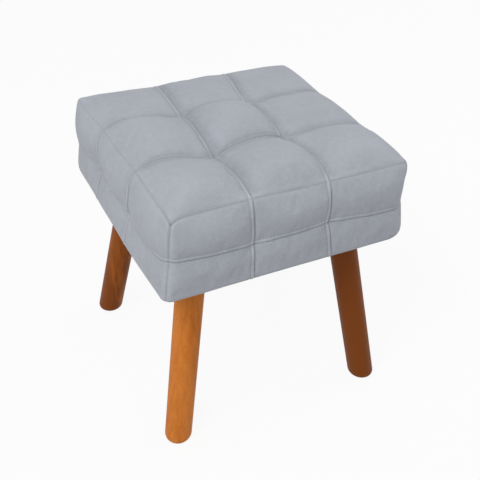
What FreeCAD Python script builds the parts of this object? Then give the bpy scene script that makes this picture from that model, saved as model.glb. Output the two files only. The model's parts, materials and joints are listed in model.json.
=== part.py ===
"""Square pouf: a tufted, upholstered seat on four splayed, turned wooden legs.

Units are millimetres. The origin is on the floor, under the middle of the seat. +X points to the
right, +Y to the back and +Z up. The seat is a screwed pine frame with a plywood deck, dressed in
foam, with a sewn suede cover over it. Seams divide its top into three by three cells and each
side into three by two. Ties pull the cover in where the seams cross. Each leg hangs on a hanger
bolt, which turns into a threaded insert in a corner block.
"""

import FreeCAD
import Part
import math
import os

# Overall seat
SEAT_WIDTH = 400.0
SEAT_DEPTH = 400.0
HEM_HEIGHT = 303.0
SEAM_SPACING = 122.0

# Levels of the seams above the hem
WAIST_RISE = 61.0
EDGE_RISE = 121.0
TUFT_RISE = 128.0

# How far the crown stands above the straight line between the ends of its seam or cell
OUTER_SEAM_CROWN = 14.0
INNER_SEAM_CROWN = 8.5
CORNER_CELL_CROWN = 16.0
SIDE_CELL_CROWN = 11.0
FRONT_CELL_CROWN = 26.5
BACK_CELL_CROWN = 18.0
CENTRE_CELL_CROWN = 19.0

# Thickness of the padding over the frame, at the seams
EDGE_PAD = 11.0
UPPER_PAD = 20.0
WAIST_PAD = 20.0
LOWER_PAD = 26.5
HEM_PAD = 28.0

# How much further the padding stands out in the middle of a cell
UPPER_PUFF = 4.5
WAIST_PUFF = 3.5
LOWER_PUFF = 1.5

# Radius of the seat's upright corners at each level
EDGE_CORNER = 14.0
UPPER_CORNER = 24.0
WAIST_CORNER = 34.0
HEM_CORNER = 44.0

# Cover
FABRIC = 1.5
HEM_ROLL = 9.0
HEM_LAP = 14.0
SOFT_GAP = 0.3
CORNER_FAN = 60.0

# Dust cover
DUST_COVER = 0.8
DUST_COVER_SETBACK = 6.0
DUST_COVER_HOLE_ROOM = 2.0

# Frame
RAIL_THICKNESS = 18.0
RAIL_HEIGHT = 80.0
DECK_THICKNESS = 10.0
BLOCK_SIZE = 67.0
BLOCK_HEIGHT = 60.0

# Legs, each set back from the seat's sides to its axis, at its top and at its foot
LEG_TOP_SETBACK = 77.5
LEG_FOOT_SETBACK = 29.5
LEG_TOP_DIAMETER = 43.5
LEG_FOOT_DIAMETER = 42.0
LEG_FOOT_ROUND = 9.0

# Hanger bolts and threaded inserts
BOLT_DIAMETER = 8.0
BOLT_IN_LEG = 38.0
BOLT_IN_BLOCK = 34.0
BOLT_TIP = 5.0
INSERT_DIAMETER = 12.0
INSERT_LENGTH = 24.0
INSERT_DEPTH = 2.0
BOLT_END_ROOM = 4.0
BOLT_END_DIAMETER = 9.0
THREAD_GAP = 0.05

# Wood screws
SCREW_SHANK = 4.0
SCREW_HEAD = 8.0
SCREW_LENGTH = 45.0
DECK_SCREW_LENGTH = 32.0
SCREW_RECESS = 0.2
RAIL_SCREW_INSET = 22.0
BLOCK_SCREW_INSET = 12.0
DECK_SCREW_SPACING = 200.0

# Ties, and the washers that hold them
TIE_DIAMETER = 2.5
TIE_HOLE = 4.0
WASHER_DIAMETER = 16.0
WASHER_THICKNESS = 2.0
KNOT_DIAMETER = 6.0

# Staples
STAPLE_CROWN = 11.0
STAPLE_WIRE = 0.9
STAPLE_LEG = 8.0
STAPLE_PITCH = 44.0
HEM_STAPLE_SETBACK = 3.0
DUST_STAPLE_SETBACK = 10.0

# Levels worked out from the sizes above
WAIST_Z = HEM_HEIGHT + WAIST_RISE
EDGE_Z = HEM_HEIGHT + EDGE_RISE
TUFT_Z = HEM_HEIGHT + TUFT_RISE
RAIL_Z = HEM_HEIGHT + FABRIC
DECK_Z = RAIL_Z + RAIL_HEIGHT
FOAM_Z = DECK_Z + DECK_THICKNESS
LEG_TOP_Z = HEM_HEIGHT - DUST_COVER

# Half sizes worked out from the sizes above
FRAME_X = SEAT_WIDTH / 2 - HEM_PAD
FRAME_Y = SEAT_DEPTH / 2 - HEM_PAD
INNER_X = FRAME_X - RAIL_THICKNESS
INNER_Y = FRAME_Y - RAIL_THICKNESS
EDGE_X = FRAME_X + EDGE_PAD
EDGE_Y = FRAME_Y + EDGE_PAD
SEAM = SEAM_SPACING / 2

UP = FreeCAD.Vector(0, 0, 1)
CORNERS = {
    "front_left": (-1, -1),
    "front_right": (1, -1),
    "back_left": (-1, 1),
    "back_right": (1, 1),
}
# Each side: its turn about Z from the front, and its half sizes along the side and outwards
SIDES = {
    "front": (0, SEAT_WIDTH / 2, SEAT_DEPTH / 2),
    "right": (90, SEAT_DEPTH / 2, SEAT_WIDTH / 2),
    "back": (180, SEAT_WIDTH / 2, SEAT_DEPTH / 2),
    "left": (270, SEAT_DEPTH / 2, SEAT_WIDTH / 2),
}
CELL_STEPS = 4
FAN_STEPS = 4


def vector(x, y, z):
    """Short name for a point or a direction."""
    return FreeCAD.Vector(x, y, z)


def line(start, end):
    """Straight edge between two points."""
    return Part.LineSegment(start, end).toShape()


def arc(start, middle, end):
    """Round edge through three points."""
    return Part.Arc(start, middle, end).toShape()


def box(low, high):
    """Box between its lowest and its highest corner."""
    size = high - low
    return Part.makeBox(size.x, size.y, size.z, low)


def rod(diameter, start, end):
    """Round rod from one point to another."""
    along = end - start
    return Part.makeCylinder(diameter / 2, along.Length, start, along)


def rounded_block(half_x, half_y, radius, low, high):
    """Block about the seat's middle, between two heights, with rounded upright corners."""
    block = box(vector(-half_x, -half_y, low), vector(half_x, half_y, high))
    upright = [edge for edge in block.Edges if edge.BoundBox.ZLength > (high - low) / 2]
    return block.makeFillet(radius, upright)


def joined(solids):
    """One solid from solids that touch face to face."""
    return solids[0].fuse(solids[1:]).removeSplitter()


def group(solids):
    """Several separate pieces under one name."""
    return Part.makeCompound(solids)


def turned(shape, degrees):
    """A copy turned about the seat's middle."""
    copy = shape.copy()
    copy.rotate(vector(0, 0, 0), UP, degrees)
    return copy


def export(name, shape):
    """Writes one sub-part."""
    shape.exportStep("parts/%s.step" % name)


# Upright sections of the sides


def puff_at(share):
    """Share of the full puff, from 0 at a cell's ends to 1 in its middle."""
    return 1 - (2 * share - 1) ** 2


def reach(half, radius, pivot, turn):
    """Distance from a pivot to the outline of a rounded square, along a ray.

    The pivot lies on the square's diagonal. The ray leaves it turned away from the face's normal.
    """
    centre = half - radius - pivot
    straight = (half - pivot) / math.cos(turn)
    if straight * math.sin(turn) <= centre:
        return straight
    along = centre * (math.sin(turn) + math.cos(turn))
    return along + math.sqrt(along**2 - 2 * centre**2 + radius**2)


class SideSection:
    """One upright section of a side, in a plane that leaves the seat's inside."""

    def __init__(self, half_along, half_out, station, turn, puff):
        self.pivot = half_out - CORNER_FAN
        self.frame = half_out - HEM_PAD
        self.turn = turn
        self.puff = puff
        self.origin = vector(station, -self.pivot, 0)
        lean = math.copysign(turn, station)
        self.out = vector(math.sin(lean), -math.cos(lean), 0)

    def point(self, distance, height):
        """Point at a distance from the pivot, at a height."""
        return self.origin + self.out * distance + UP * height

    def away(self, pad, radius, inset):
        """Distance to the padding's outline, moved inwards by the inset."""
        half = self.frame + pad - inset
        return reach(half, max(radius - inset, 0), self.pivot, self.turn)

    def outline(self, inset):
        """Points from the edge seam down to the hem's underside, moved inwards by the inset."""
        upper = self.away(UPPER_PAD + UPPER_PUFF * self.puff, UPPER_CORNER, inset)
        waist = self.away(WAIST_PAD + WAIST_PUFF * self.puff, WAIST_CORNER, inset)
        lower = self.away(LOWER_PAD + LOWER_PUFF * self.puff, HEM_CORNER, inset)
        hem = self.away(HEM_PAD, HEM_CORNER, inset)
        roll = HEM_ROLL - inset
        slant = roll * (1 - math.sqrt(0.5))
        base = HEM_HEIGHT + inset
        roll_z = HEM_HEIGHT + HEM_ROLL
        return [
            self.point(self.away(EDGE_PAD, EDGE_CORNER, inset), EDGE_Z),
            self.point(upper, (EDGE_Z + WAIST_Z) / 2),
            self.point(waist, WAIST_Z),
            self.point(lower, (WAIST_Z + roll_z) / 2),
            self.point(hem, roll_z),
            self.point(hem - slant, base + slant),
            self.point(hem - roll, base),
        ]

    def outer_edges(self, inset):
        """The upper band, the lower band and the hem's roll, as three arcs."""
        p = self.outline(inset)
        return [arc(*p[0:3]), arc(*p[2:5]), arc(*p[4:7])], p

    def fabric_wire(self):
        """The cover's thickness, from the edge seam to the end of the hem's lap."""
        outer, p = self.outer_edges(0)
        inner, q = self.outer_edges(FABRIC)
        lap = self.away(-HEM_LAP, 0, 0)
        lap_end = self.point(lap, HEM_HEIGHT)
        lap_back = self.point(lap, HEM_HEIGHT + FABRIC)
        closing = [line(p[6], lap_end), line(lap_end, lap_back), line(lap_back, q[6])]
        return Part.Wire(outer + closing + inner[::-1] + [line(q[0], p[0])])

    def foam_wire(self):
        """The side pad, from the frame's face out to the cover."""
        outer, p = self.outer_edges(FABRIC + SOFT_GAP)
        frame = self.away(0, 0, 0)
        low = self.point(frame, HEM_HEIGHT + FABRIC + SOFT_GAP)
        high = self.point(frame, EDGE_Z)
        return Part.Wire(outer + [line(p[6], low), line(low, high), line(high, p[0])])


def side_cells(half_along, half_out):
    """Sections of a side's three cells, each from one seam or corner to the next."""
    pivot = half_along - CORNER_FAN
    fan_length = CORNER_FAN * math.pi / 4
    length = fan_length + pivot - SEAM
    corner = []
    for i in range(FAN_STEPS):
        share = i / FAN_STEPS
        turn = math.pi / 4 * (1 - share)
        corner.append((-pivot, turn, puff_at(share * fan_length / length)))
    for i in range(CELL_STEPS + 1):
        station = -pivot + (pivot - SEAM) * i / CELL_STEPS
        corner.append((station, 0.0, puff_at((fan_length + pivot + station) / length)))
    middle = []
    for i in range(CELL_STEPS + 1):
        share = i / CELL_STEPS
        middle.append((SEAM * (2 * share - 1), 0.0, puff_at(share)))
    mirrored = [(-station, turn, puff) for station, turn, puff in reversed(corner)]
    cells = [corner, middle, mirrored]
    return [[SideSection(half_along, half_out, *row) for row in cell] for cell in cells]


def side_solid(name, wire_of):
    """Lofts a side's three cells and joins them, in place."""
    degrees, half_along, half_out = SIDES[name]
    lofts = []
    for cell in side_cells(half_along, half_out):
        wires = [wire_of(section) for section in cell]
        lofts.append(Part.makeLoft(wires, True, False))
    return turned(joined(lofts), degrees)


# Sections of the crowned top


def crowned(start, end, crown, share):
    """Height between two ends, with a crown over the straight line."""
    return start + (end - start) * share + crown * puff_at(share)


def row_heights(y):
    """Heights of an outer cell's middle, of a seam and of the centre cell's middle, at a depth."""
    outer_seam = (EDGE_Z + TUFT_Z) / 2 + OUTER_SEAM_CROWN
    inner_seam = TUFT_Z + INNER_SEAM_CROWN
    if abs(y) < SEAM:
        share = (y + SEAM) / SEAM_SPACING
        return (
            crowned(outer_seam, outer_seam, SIDE_CELL_CROWN, share),
            crowned(TUFT_Z, TUFT_Z, INNER_SEAM_CROWN, share),
            crowned(inner_seam, inner_seam, CENTRE_CELL_CROWN, share),
        )
    share = (EDGE_Y - abs(y)) / (EDGE_Y - SEAM)
    cell_crown = FRONT_CELL_CROWN if y < 0 else BACK_CELL_CROWN
    return (
        crowned(EDGE_Z, outer_seam, CORNER_CELL_CROWN, share),
        crowned(EDGE_Z, TUFT_Z, OUTER_SEAM_CROWN, share),
        crowned(EDGE_Z, inner_seam, cell_crown, share),
    )


def trimmed(start, middle, end, cut_x):
    """Point where the arc through three points of one section crosses an upright line."""
    circle = Part.Circle(start, middle, end)
    centre = circle.Center
    rise = math.sqrt(circle.Radius**2 - (cut_x - centre.x) ** 2)
    return vector(cut_x, start.y, centre.z + rise)


def crown_edges(y, lift, half_x):
    """Left to right, the arcs over the three cells, lifted and cut off at the half width."""
    outer, seam, centre = (height + lift for height in row_heights(y))
    edge = EDGE_Z + lift
    middle_x = (EDGE_X + SEAM) / 2
    left = [vector(-EDGE_X, y, edge), vector(-middle_x, y, outer), vector(-SEAM, y, seam)]
    right = [vector(-p.x, y, p.z) for p in reversed(left)]
    if outer - (edge + seam) / 2 < SOFT_GAP:
        # Along the edge seam the section is straight
        ends = vector(-half_x, y, edge), vector(half_x, y, edge)
        edges = [line(ends[0], left[2]), line(left[2], right[0]), line(right[0], ends[1])]
        return edges, ends[0], ends[1]
    start = trimmed(*left, -half_x)
    end = vector(half_x, y, start.z)
    start_middle = trimmed(*left, -(half_x + SEAM) / 2)
    end_middle = vector(-start_middle.x, y, start_middle.z)
    edges = [
        arc(start, start_middle, left[2]),
        arc(left[2], vector(0, y, centre), right[0]),
        arc(right[0], end_middle, end),
    ]
    return edges, start, end


def top_fabric_wire(y):
    """The cover's thickness over the top, in one section."""
    low, low_start, low_end = crown_edges(y, 0, EDGE_X)
    high, high_start, high_end = crown_edges(y, FABRIC, EDGE_X)
    sides = [line(low_end, high_end), line(high_start, low_start)]
    return Part.Wire(low + sides[:1] + high[::-1] + sides[1:])


def top_foam_wire(y):
    """The top pad, from the deck up to the cover, in one section."""
    top, start, end = crown_edges(y, -SOFT_GAP, FRAME_X)
    low_start = vector(-FRAME_X, y, FOAM_Z)
    low_end = vector(FRAME_X, y, FOAM_Z)
    return Part.Wire([line(low_start, start)] + top + [line(end, low_end), line(low_end, low_start)])


def top_solid(wire_of, half_y):
    """Lofts the top's three rows of cells and joins them."""
    breaks = [-half_y, -SEAM, SEAM, half_y]
    lofts = []
    for near, far in zip(breaks, breaks[1:]):
        steps = [near + (far - near) * i / CELL_STEPS for i in range(CELL_STEPS + 1)]
        lofts.append(Part.makeLoft([wire_of(y) for y in steps], True, False))
    return joined(lofts)


# Screws, staples and ties


def screw(head, direction, length):
    """Countersunk wood screw, from the middle of its head along its direction."""
    cone = Part.makeCone(SCREW_HEAD / 2, SCREW_SHANK / 2, (SCREW_HEAD - SCREW_SHANK) / 2, head, direction)
    tip_start = head + direction * (length - SCREW_SHANK)
    shank = rod(SCREW_SHANK, head, tip_start)
    tip = Part.makeCone(SCREW_SHANK / 2, 0, SCREW_SHANK, tip_start, direction)
    return cone.fuse([shank, tip]).removeSplitter()


def screw_hole(head, direction, length):
    """Countersunk hole with running room round the screw."""
    mouth = head - direction * SCREW_RECESS
    grow = 2 * THREAD_GAP
    depth = (SCREW_HEAD - SCREW_SHANK) / 2 + SCREW_RECESS
    cone = Part.makeCone(
        SCREW_HEAD / 2 + THREAD_GAP + SCREW_RECESS, SCREW_SHANK / 2 + THREAD_GAP, depth, mouth, direction
    )
    return cone.fuse(rod(SCREW_SHANK + grow, mouth, head + direction * (length + THREAD_GAP)))


def rail_screws():
    """Where the front and back rails are screwed to the side rails' ends."""
    places = []
    for sx, sy in CORNERS.values():
        for z in (RAIL_Z + RAIL_SCREW_INSET, DECK_Z - RAIL_SCREW_INSET):
            x = sx * (FRAME_X - RAIL_THICKNESS / 2)
            head = vector(x, sy * (FRAME_Y - SCREW_RECESS), z)
            places.append((head, vector(0, -sy, 0), SCREW_LENGTH))
    return places


def block_screws():
    """Where each corner block is screwed to its two rails, from outside."""
    places = []
    z = HEM_HEIGHT + BLOCK_HEIGHT - BLOCK_SCREW_INSET
    for sx, sy in CORNERS.values():
        x = sx * (INNER_X - BLOCK_SIZE / 2)
        y = sy * (INNER_Y - BLOCK_SIZE / 2)
        places.append((vector(x, sy * (FRAME_Y - SCREW_RECESS), z), vector(0, -sy, 0), SCREW_LENGTH))
        places.append((vector(sx * (FRAME_X - SCREW_RECESS), y, z), vector(-sx, 0, 0), SCREW_LENGTH))
    return places


def deck_screws():
    """Where the deck is screwed down to the rails."""
    places = []
    z = FOAM_Z - SCREW_RECESS
    for side in (-1, 1):
        for place in (-DECK_SCREW_SPACING / 2, DECK_SCREW_SPACING / 2):
            x = side * (FRAME_X - RAIL_THICKNESS / 2)
            y = side * (FRAME_Y - RAIL_THICKNESS / 2)
            places.append((vector(x, place, z), vector(0, 0, -1), DECK_SCREW_LENGTH))
            places.append((vector(place, y, z), vector(0, 0, -1), DECK_SCREW_LENGTH))
    return places


def staple(x, y, z):
    """Staple of square wire, with its crown along X under a height and its legs driven up."""
    outer = STAPLE_CROWN / 2
    inner = outer - STAPLE_WIRE
    left = [(-outer, -STAPLE_WIRE), (-outer, STAPLE_LEG), (-inner, STAPLE_LEG), (-inner, 0)]
    right = [(-along, up) for along, up in reversed(left)]
    points = [vector(x + along, y - STAPLE_WIRE / 2, z + up) for along, up in left + right]
    outline = Part.Face(Part.makePolygon(points + points[:1]))
    return outline.extrude(vector(0, STAPLE_WIRE, 0))


def staple_rows(setback, z):
    """Rows of staples round the underside, set back from the frame's outer faces."""
    made = []
    for degrees, half_along, half_out in SIDES.values():
        out = half_out - HEM_PAD - setback
        room = half_along - HEM_PAD - RAIL_THICKNESS - STAPLE_CROWN
        count = int(room / STAPLE_PITCH)
        for i in range(-count, count + 1):
            made.append(turned(staple(i * STAPLE_PITCH, -out, z), degrees))
    return made


def hem_staples():
    """Staples that hold the cover's lap."""
    return staple_rows(HEM_STAPLE_SETBACK, HEM_HEIGHT)


def dust_cover_staples():
    """Staples that hold the dust cover."""
    return staple_rows(DUST_STAPLE_SETBACK, LEG_TOP_Z)


def washer(centre, axis):
    """Washer that a tie is knotted against, starting at a face."""
    disc = Part.makeCylinder(WASHER_DIAMETER / 2, WASHER_THICKNESS, centre, axis)
    hole = Part.makeCylinder(TIE_DIAMETER / 2 + THREAD_GAP, WASHER_THICKNESS, centre, axis)
    return disc.cut(hole)


def tie(outer, inner, axis):
    """Twine from the cover to its washer, with a knot behind the washer."""
    end = inner + axis * WASHER_THICKNESS
    knot_middle = end + axis * (KNOT_DIAMETER / 2)
    knot = Part.makeSphere(KNOT_DIAMETER / 2, knot_middle, axis)
    return rod(TIE_DIAMETER, outer, knot_middle).fuse(knot).removeSplitter()


def side_tie_places():
    """Ends of each side tie: under the cover at the waist seam, and at the rail's inner face."""
    places = []
    for degrees, half_along, half_out in SIDES.values():
        frame = half_out - HEM_PAD
        for x in (-SEAM, SEAM):
            ends = [
                vector(x, -(frame + WAIST_PAD - FABRIC), WAIST_Z),
                vector(x, -(frame - RAIL_THICKNESS), WAIST_Z),
                vector(0, 1, 0),
            ]
            turn = FreeCAD.Rotation(UP, degrees)
            places.append([turn.multVec(p) for p in ends])
    return places


def top_tie_places():
    """Ends of each top tie: under the cover at a seam crossing, and below the deck."""
    down = vector(0, 0, -1)
    crossings = [(x, y) for y in (-SEAM, SEAM) for x in (-SEAM, SEAM)]
    return [[vector(x, y, TUFT_Z), vector(x, y, DECK_Z), down] for x, y in crossings]


def tie_holes(places):
    """Holes that the ties pass through."""
    return [rod(TIE_HOLE, outer - axis, inner + axis) for outer, inner, axis in places]


# Frame


def rails():
    """The four rails, with the front and back ones over the ends of the side ones."""
    low, high = RAIL_Z, DECK_Z
    shapes = {
        "front": box(vector(-FRAME_X, -FRAME_Y, low), vector(FRAME_X, -INNER_Y, high)),
        "back": box(vector(-FRAME_X, INNER_Y, low), vector(FRAME_X, FRAME_Y, high)),
        "left": box(vector(-FRAME_X, -INNER_Y, low), vector(-INNER_X, INNER_Y, high)),
        "right": box(vector(INNER_X, -INNER_Y, low), vector(FRAME_X, INNER_Y, high)),
    }
    holes = [screw_hole(*place) for place in rail_screws() + block_screws() + deck_screws()]
    holes += tie_holes(side_tie_places()) + hem_staples() + dust_cover_staples()
    return {name: shape.cut(holes) for name, shape in shapes.items()}


def deck():
    """The plywood deck on the rails, with a hole for each top tie."""
    board = box(vector(-FRAME_X, -FRAME_Y, DECK_Z), vector(FRAME_X, FRAME_Y, FOAM_Z))
    holes = [screw_hole(*place) for place in deck_screws()]
    return board.cut(holes + tie_holes(top_tie_places()))


def leg_axis(sx, sy):
    """Foot, top and direction of one leg's axis."""
    half_x, half_y = SEAT_WIDTH / 2, SEAT_DEPTH / 2
    foot = vector(sx * (half_x - LEG_FOOT_SETBACK), sy * (half_y - LEG_FOOT_SETBACK), 0)
    top = vector(sx * (half_x - LEG_TOP_SETBACK), sy * (half_y - LEG_TOP_SETBACK), LEG_TOP_Z)
    axis = top - foot
    axis.normalize()
    return foot, top, axis


def corner_block(sx, sy):
    """Block in a corner of the frame, drilled along the leg's axis for its insert and bolt."""
    inner = vector(sx * (INNER_X - BLOCK_SIZE), sy * (INNER_Y - BLOCK_SIZE), HEM_HEIGHT)
    outer = vector(sx * INNER_X, sy * INNER_Y, HEM_HEIGHT + BLOCK_HEIGHT)
    low = vector(min(inner.x, outer.x), min(inner.y, outer.y), inner.z)
    high = vector(max(inner.x, outer.x), max(inner.y, outer.y), outer.z)
    _, top, axis = leg_axis(sx, sy)
    bore = INSERT_DIAMETER + 2 * THREAD_GAP
    holes = [
        rod(bore, top - axis * INSERT_DIAMETER, top + axis * (INSERT_DEPTH + INSERT_LENGTH)),
        rod(BOLT_END_DIAMETER, top, top + axis * (BOLT_IN_BLOCK + BOLT_END_ROOM)),
    ]
    holes += [screw_hole(*place) for place in block_screws()]
    return box(low, high).cut(holes)


# Legs and their fixings


def leg_bolt(sx, sy):
    """Hanger bolt, half in the leg and half in the block."""
    _, top, axis = leg_axis(sx, sy)
    tip_start = top - axis * (BOLT_IN_LEG - BOLT_TIP)
    shank = rod(BOLT_DIAMETER, tip_start, top + axis * BOLT_IN_BLOCK)
    tip = Part.makeCone(BOLT_DIAMETER / 2, 0, BOLT_TIP, tip_start, axis * -1)
    return shank.fuse(tip).removeSplitter()


def leg_insert(sx, sy):
    """Threaded insert that the bolt turns into."""
    _, top, axis = leg_axis(sx, sy)
    start = top + axis * INSERT_DEPTH
    end = start + axis * INSERT_LENGTH
    return rod(INSERT_DIAMETER, start, end).cut(rod(BOLT_DIAMETER + 2 * THREAD_GAP, start, end))


def leg(sx, sy):
    """Turned leg, cut level at both ends, with a rounded foot and a hole for its bolt."""
    foot, top, axis = leg_axis(sx, sy)
    length = (top - foot).Length
    extra = LEG_TOP_DIAMETER
    slope = (LEG_TOP_DIAMETER - LEG_FOOT_DIAMETER) / 2 / length
    low_radius = LEG_FOOT_DIAMETER / 2 - slope * extra
    high_radius = LEG_TOP_DIAMETER / 2 + slope * extra
    turning = Part.makeCone(low_radius, high_radius, length + 2 * extra, foot - axis * extra, axis)
    reach_out = vector(SEAT_WIDTH, SEAT_DEPTH, 0)
    shape = turning.common(box(reach_out * -1, reach_out + UP * LEG_TOP_Z))
    foot_edges = [edge for edge in shape.Edges if edge.BoundBox.ZMax < LEG_FOOT_ROUND / 2]
    shape = shape.makeFillet(LEG_FOOT_ROUND, foot_edges)
    hole_end = top - axis * (BOLT_IN_LEG + THREAD_GAP)
    return shape.cut(rod(BOLT_DIAMETER + 2 * THREAD_GAP, hole_end, top + axis * BOLT_DIAMETER))


def dust_cover():
    """Cloth under the frame, with a hole for each bolt."""
    half_x = FRAME_X - DUST_COVER_SETBACK
    half_y = FRAME_Y - DUST_COVER_SETBACK
    sheet = box(vector(-half_x, -half_y, LEG_TOP_Z), vector(half_x, half_y, HEM_HEIGHT))
    holes = []
    for sx, sy in CORNERS.values():
        _, top, _ = leg_axis(sx, sy)
        bore = INSERT_DIAMETER + 2 * DUST_COVER_HOLE_ROOM
        holes.append(rod(bore, top - UP * DUST_COVER, top + UP * (2 * DUST_COVER)))
    return sheet.cut(holes + dust_cover_staples())


def main():
    """Builds every sub-part and writes it."""
    os.makedirs("parts", exist_ok=True)

    for corner, (sx, sy) in CORNERS.items():
        export("leg_" + corner, leg(sx, sy))
        export("leg_bolt_" + corner, leg_bolt(sx, sy))
        export("leg_insert_" + corner, leg_insert(sx, sy))
        export("corner_block_" + corner, corner_block(sx, sy))

    for name, rail in rails().items():
        export("rail_" + name, rail)
    export("deck_board", deck())
    export("rail_screws", group([screw(*place) for place in rail_screws()]))
    export("block_screws", group([screw(*place) for place in block_screws()]))
    export("deck_screws", group([screw(*place) for place in deck_screws()]))

    side_holes = tie_holes(side_tie_places())
    fixings = hem_staples() + dust_cover_staples()
    for name in SIDES:
        export("cover_" + name, side_solid(name, SideSection.fabric_wire).cut(fixings))
        export("side_foam_" + name, side_solid(name, SideSection.foam_wire).cut(side_holes))
    edge_block = rounded_block(EDGE_X, EDGE_Y, EDGE_CORNER, EDGE_Z, 2 * EDGE_Z)
    export("cover_top", top_solid(top_fabric_wire, EDGE_Y).common(edge_block))
    export("seat_foam", top_solid(top_foam_wire, FRAME_Y).cut(tie_holes(top_tie_places())))

    for kind, places in (("top", top_tie_places()), ("side", side_tie_places())):
        export(kind + "_ties", group([tie(*place) for place in places]))
        export(kind + "_tie_washers", group([washer(inner, axis) for _, inner, axis in places]))

    export("dust_cover", dust_cover())
    export("hem_staples", group(hem_staples()))
    export("dust_cover_staples", group(dust_cover_staples()))


main()
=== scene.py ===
"""Square pouf: a tufted, upholstered suede seat on four splayed, turned wooden legs.

Metres, with the origin on the floor under the middle of the seat, +X to the right, +Y to the back
and +Z up. The sewn cover is a surface of five panels. Its cells are puffed up by a cloth simulation
between the seams, and its seams, stitches and pulls are laid over that on a finer grid.
"""

import json
import logging
import math
from dataclasses import dataclass
from enum import Enum

import bpy
import numpy as np
from mathutils import Matrix, Vector

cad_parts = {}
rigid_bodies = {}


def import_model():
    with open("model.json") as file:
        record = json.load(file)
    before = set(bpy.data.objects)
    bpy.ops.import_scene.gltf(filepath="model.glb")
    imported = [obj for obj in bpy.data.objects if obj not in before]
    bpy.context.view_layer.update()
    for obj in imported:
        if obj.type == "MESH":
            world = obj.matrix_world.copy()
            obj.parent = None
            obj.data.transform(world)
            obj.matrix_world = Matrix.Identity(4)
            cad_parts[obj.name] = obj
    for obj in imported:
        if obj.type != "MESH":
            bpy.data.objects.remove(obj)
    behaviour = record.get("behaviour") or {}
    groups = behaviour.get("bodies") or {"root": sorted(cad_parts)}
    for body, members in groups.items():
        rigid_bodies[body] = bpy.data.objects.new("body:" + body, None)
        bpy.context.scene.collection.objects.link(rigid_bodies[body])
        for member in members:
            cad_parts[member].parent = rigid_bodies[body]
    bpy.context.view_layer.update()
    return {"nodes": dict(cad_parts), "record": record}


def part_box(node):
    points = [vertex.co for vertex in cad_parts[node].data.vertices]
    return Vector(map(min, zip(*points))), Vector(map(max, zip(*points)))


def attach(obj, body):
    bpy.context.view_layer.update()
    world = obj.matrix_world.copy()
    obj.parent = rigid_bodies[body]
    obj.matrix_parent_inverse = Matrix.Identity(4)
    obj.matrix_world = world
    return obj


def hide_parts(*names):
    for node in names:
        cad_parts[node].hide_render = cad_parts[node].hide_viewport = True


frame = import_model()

log = logging.getLogger("pouf")

Array = np.ndarray
Piece = bpy.types.Object
Material = bpy.types.Material
Solid = tuple[Array, list[Array]]

BODY = "root"
TAU = 2 * math.pi
UP = np.array([0.0, 0.0, 1.0])
# Each leg's offset on the stain ramp: partly stain, partly painted shade on the legs that stand in shade
# (front right darkest) and painted light on the front-left leg.
LEG_STAIN_AND_SHADE = {"front_left": 0.20, "front_right": -0.58, "back_left": -0.34, "back_right": -0.10}


class Side(Enum):
    """The seat's four sides, anticlockwise from above, each with its turn from the front in quarters."""

    FRONT = 0
    RIGHT = 1
    BACK = 2
    LEFT = 3

    @property
    def node(self) -> str:
        """The side's word in the names of the frame's nodes."""
        return self.name.lower()

    @property
    def after(self) -> "Side":
        """The next side anticlockwise."""
        return Side((self.value + 1) % 4)

    def turned(self, x: Array, y: Array) -> tuple[Array, Array]:
        """X and Y of the front side, turned to this side by whole quarters."""
        cosine, sine = ((1, 0), (0, 1), (-1, 0), (0, -1))[self.value]
        return cosine * x - sine * y, sine * x + cosine * y


# Surface mathematics


def smoothstep(x: Array) -> Array:
    """Rises from 0 to 1 with level ends: three x squared minus two x cubed."""
    x = np.clip(x, 0.0, 1.0)
    return x * x * (3 - 2 * x)


def pillow(share: Array, power: float = 2.2) -> Array:
    """A stuffed cell's profile: 0 at both ends and 1 in the middle, as 1 minus |2 share - 1| to a power."""
    return 1 - np.abs(2 * np.clip(share, 0.0, 1.0) - 1) ** power


def shoulder(share: Array) -> Array:
    """A padded side's profile: 1.235 times 1 minus (1 - share) to the sixth, times 1 minus share squared."""
    share = np.clip(share, 0.0, 1.0)
    return 1.235 * (1 - (1 - share) ** 6) * (1 - share**2)


def bell(distance: Array, width: float) -> Array:
    """A bell curve: e to the minus square of the distance over the width."""
    return np.exp(-((distance / width) ** 2))


def unit(vectors: Array) -> Array:
    """Vectors divided by their own lengths."""
    return vectors / np.maximum(np.linalg.norm(vectors, axis=-1, keepdims=True), 1e-12)


def grid_normals(points: Array) -> Array:
    """Unit normals of a grid of points: the cross product of its slopes along columns and rows."""
    return unit(np.cross(np.gradient(points, axis=1), np.gradient(points, axis=0)))


def stations(breaks: list[float], fine: float, coarse: float, reach: float) -> Array:
    """Places along a line, closer together near each seam.

    The step grows with the distance to the nearest break as a smoothstep. Each stretch between two
    breaks gets a whole number of steps, spread by the integral of one over the step.

    Args:
        breaks: The seams' places, which are always stations.
        fine: The step at a seam.
        coarse: The step far from every seam.
        reach: The distance over which the step grows.

    Returns:
        The stations in rising order.
    """
    places = [np.array(breaks[:1])]
    for start, end in zip(breaks, breaks[1:]):
        line = np.linspace(start, end, 400)
        near = np.minimum(line - start, end - line)
        step = fine + (coarse - fine) * smoothstep((near - reach / 3) / reach)
        count = np.concatenate([[0], np.cumsum(np.diff(line) / step[1:])])
        whole = max(2, math.ceil(count[-1]))
        places.append(np.interp(np.arange(1, whole + 1) * count[-1] / whole, count, line))
        places[-1][-1] = end
    return np.concatenate(places)


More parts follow.
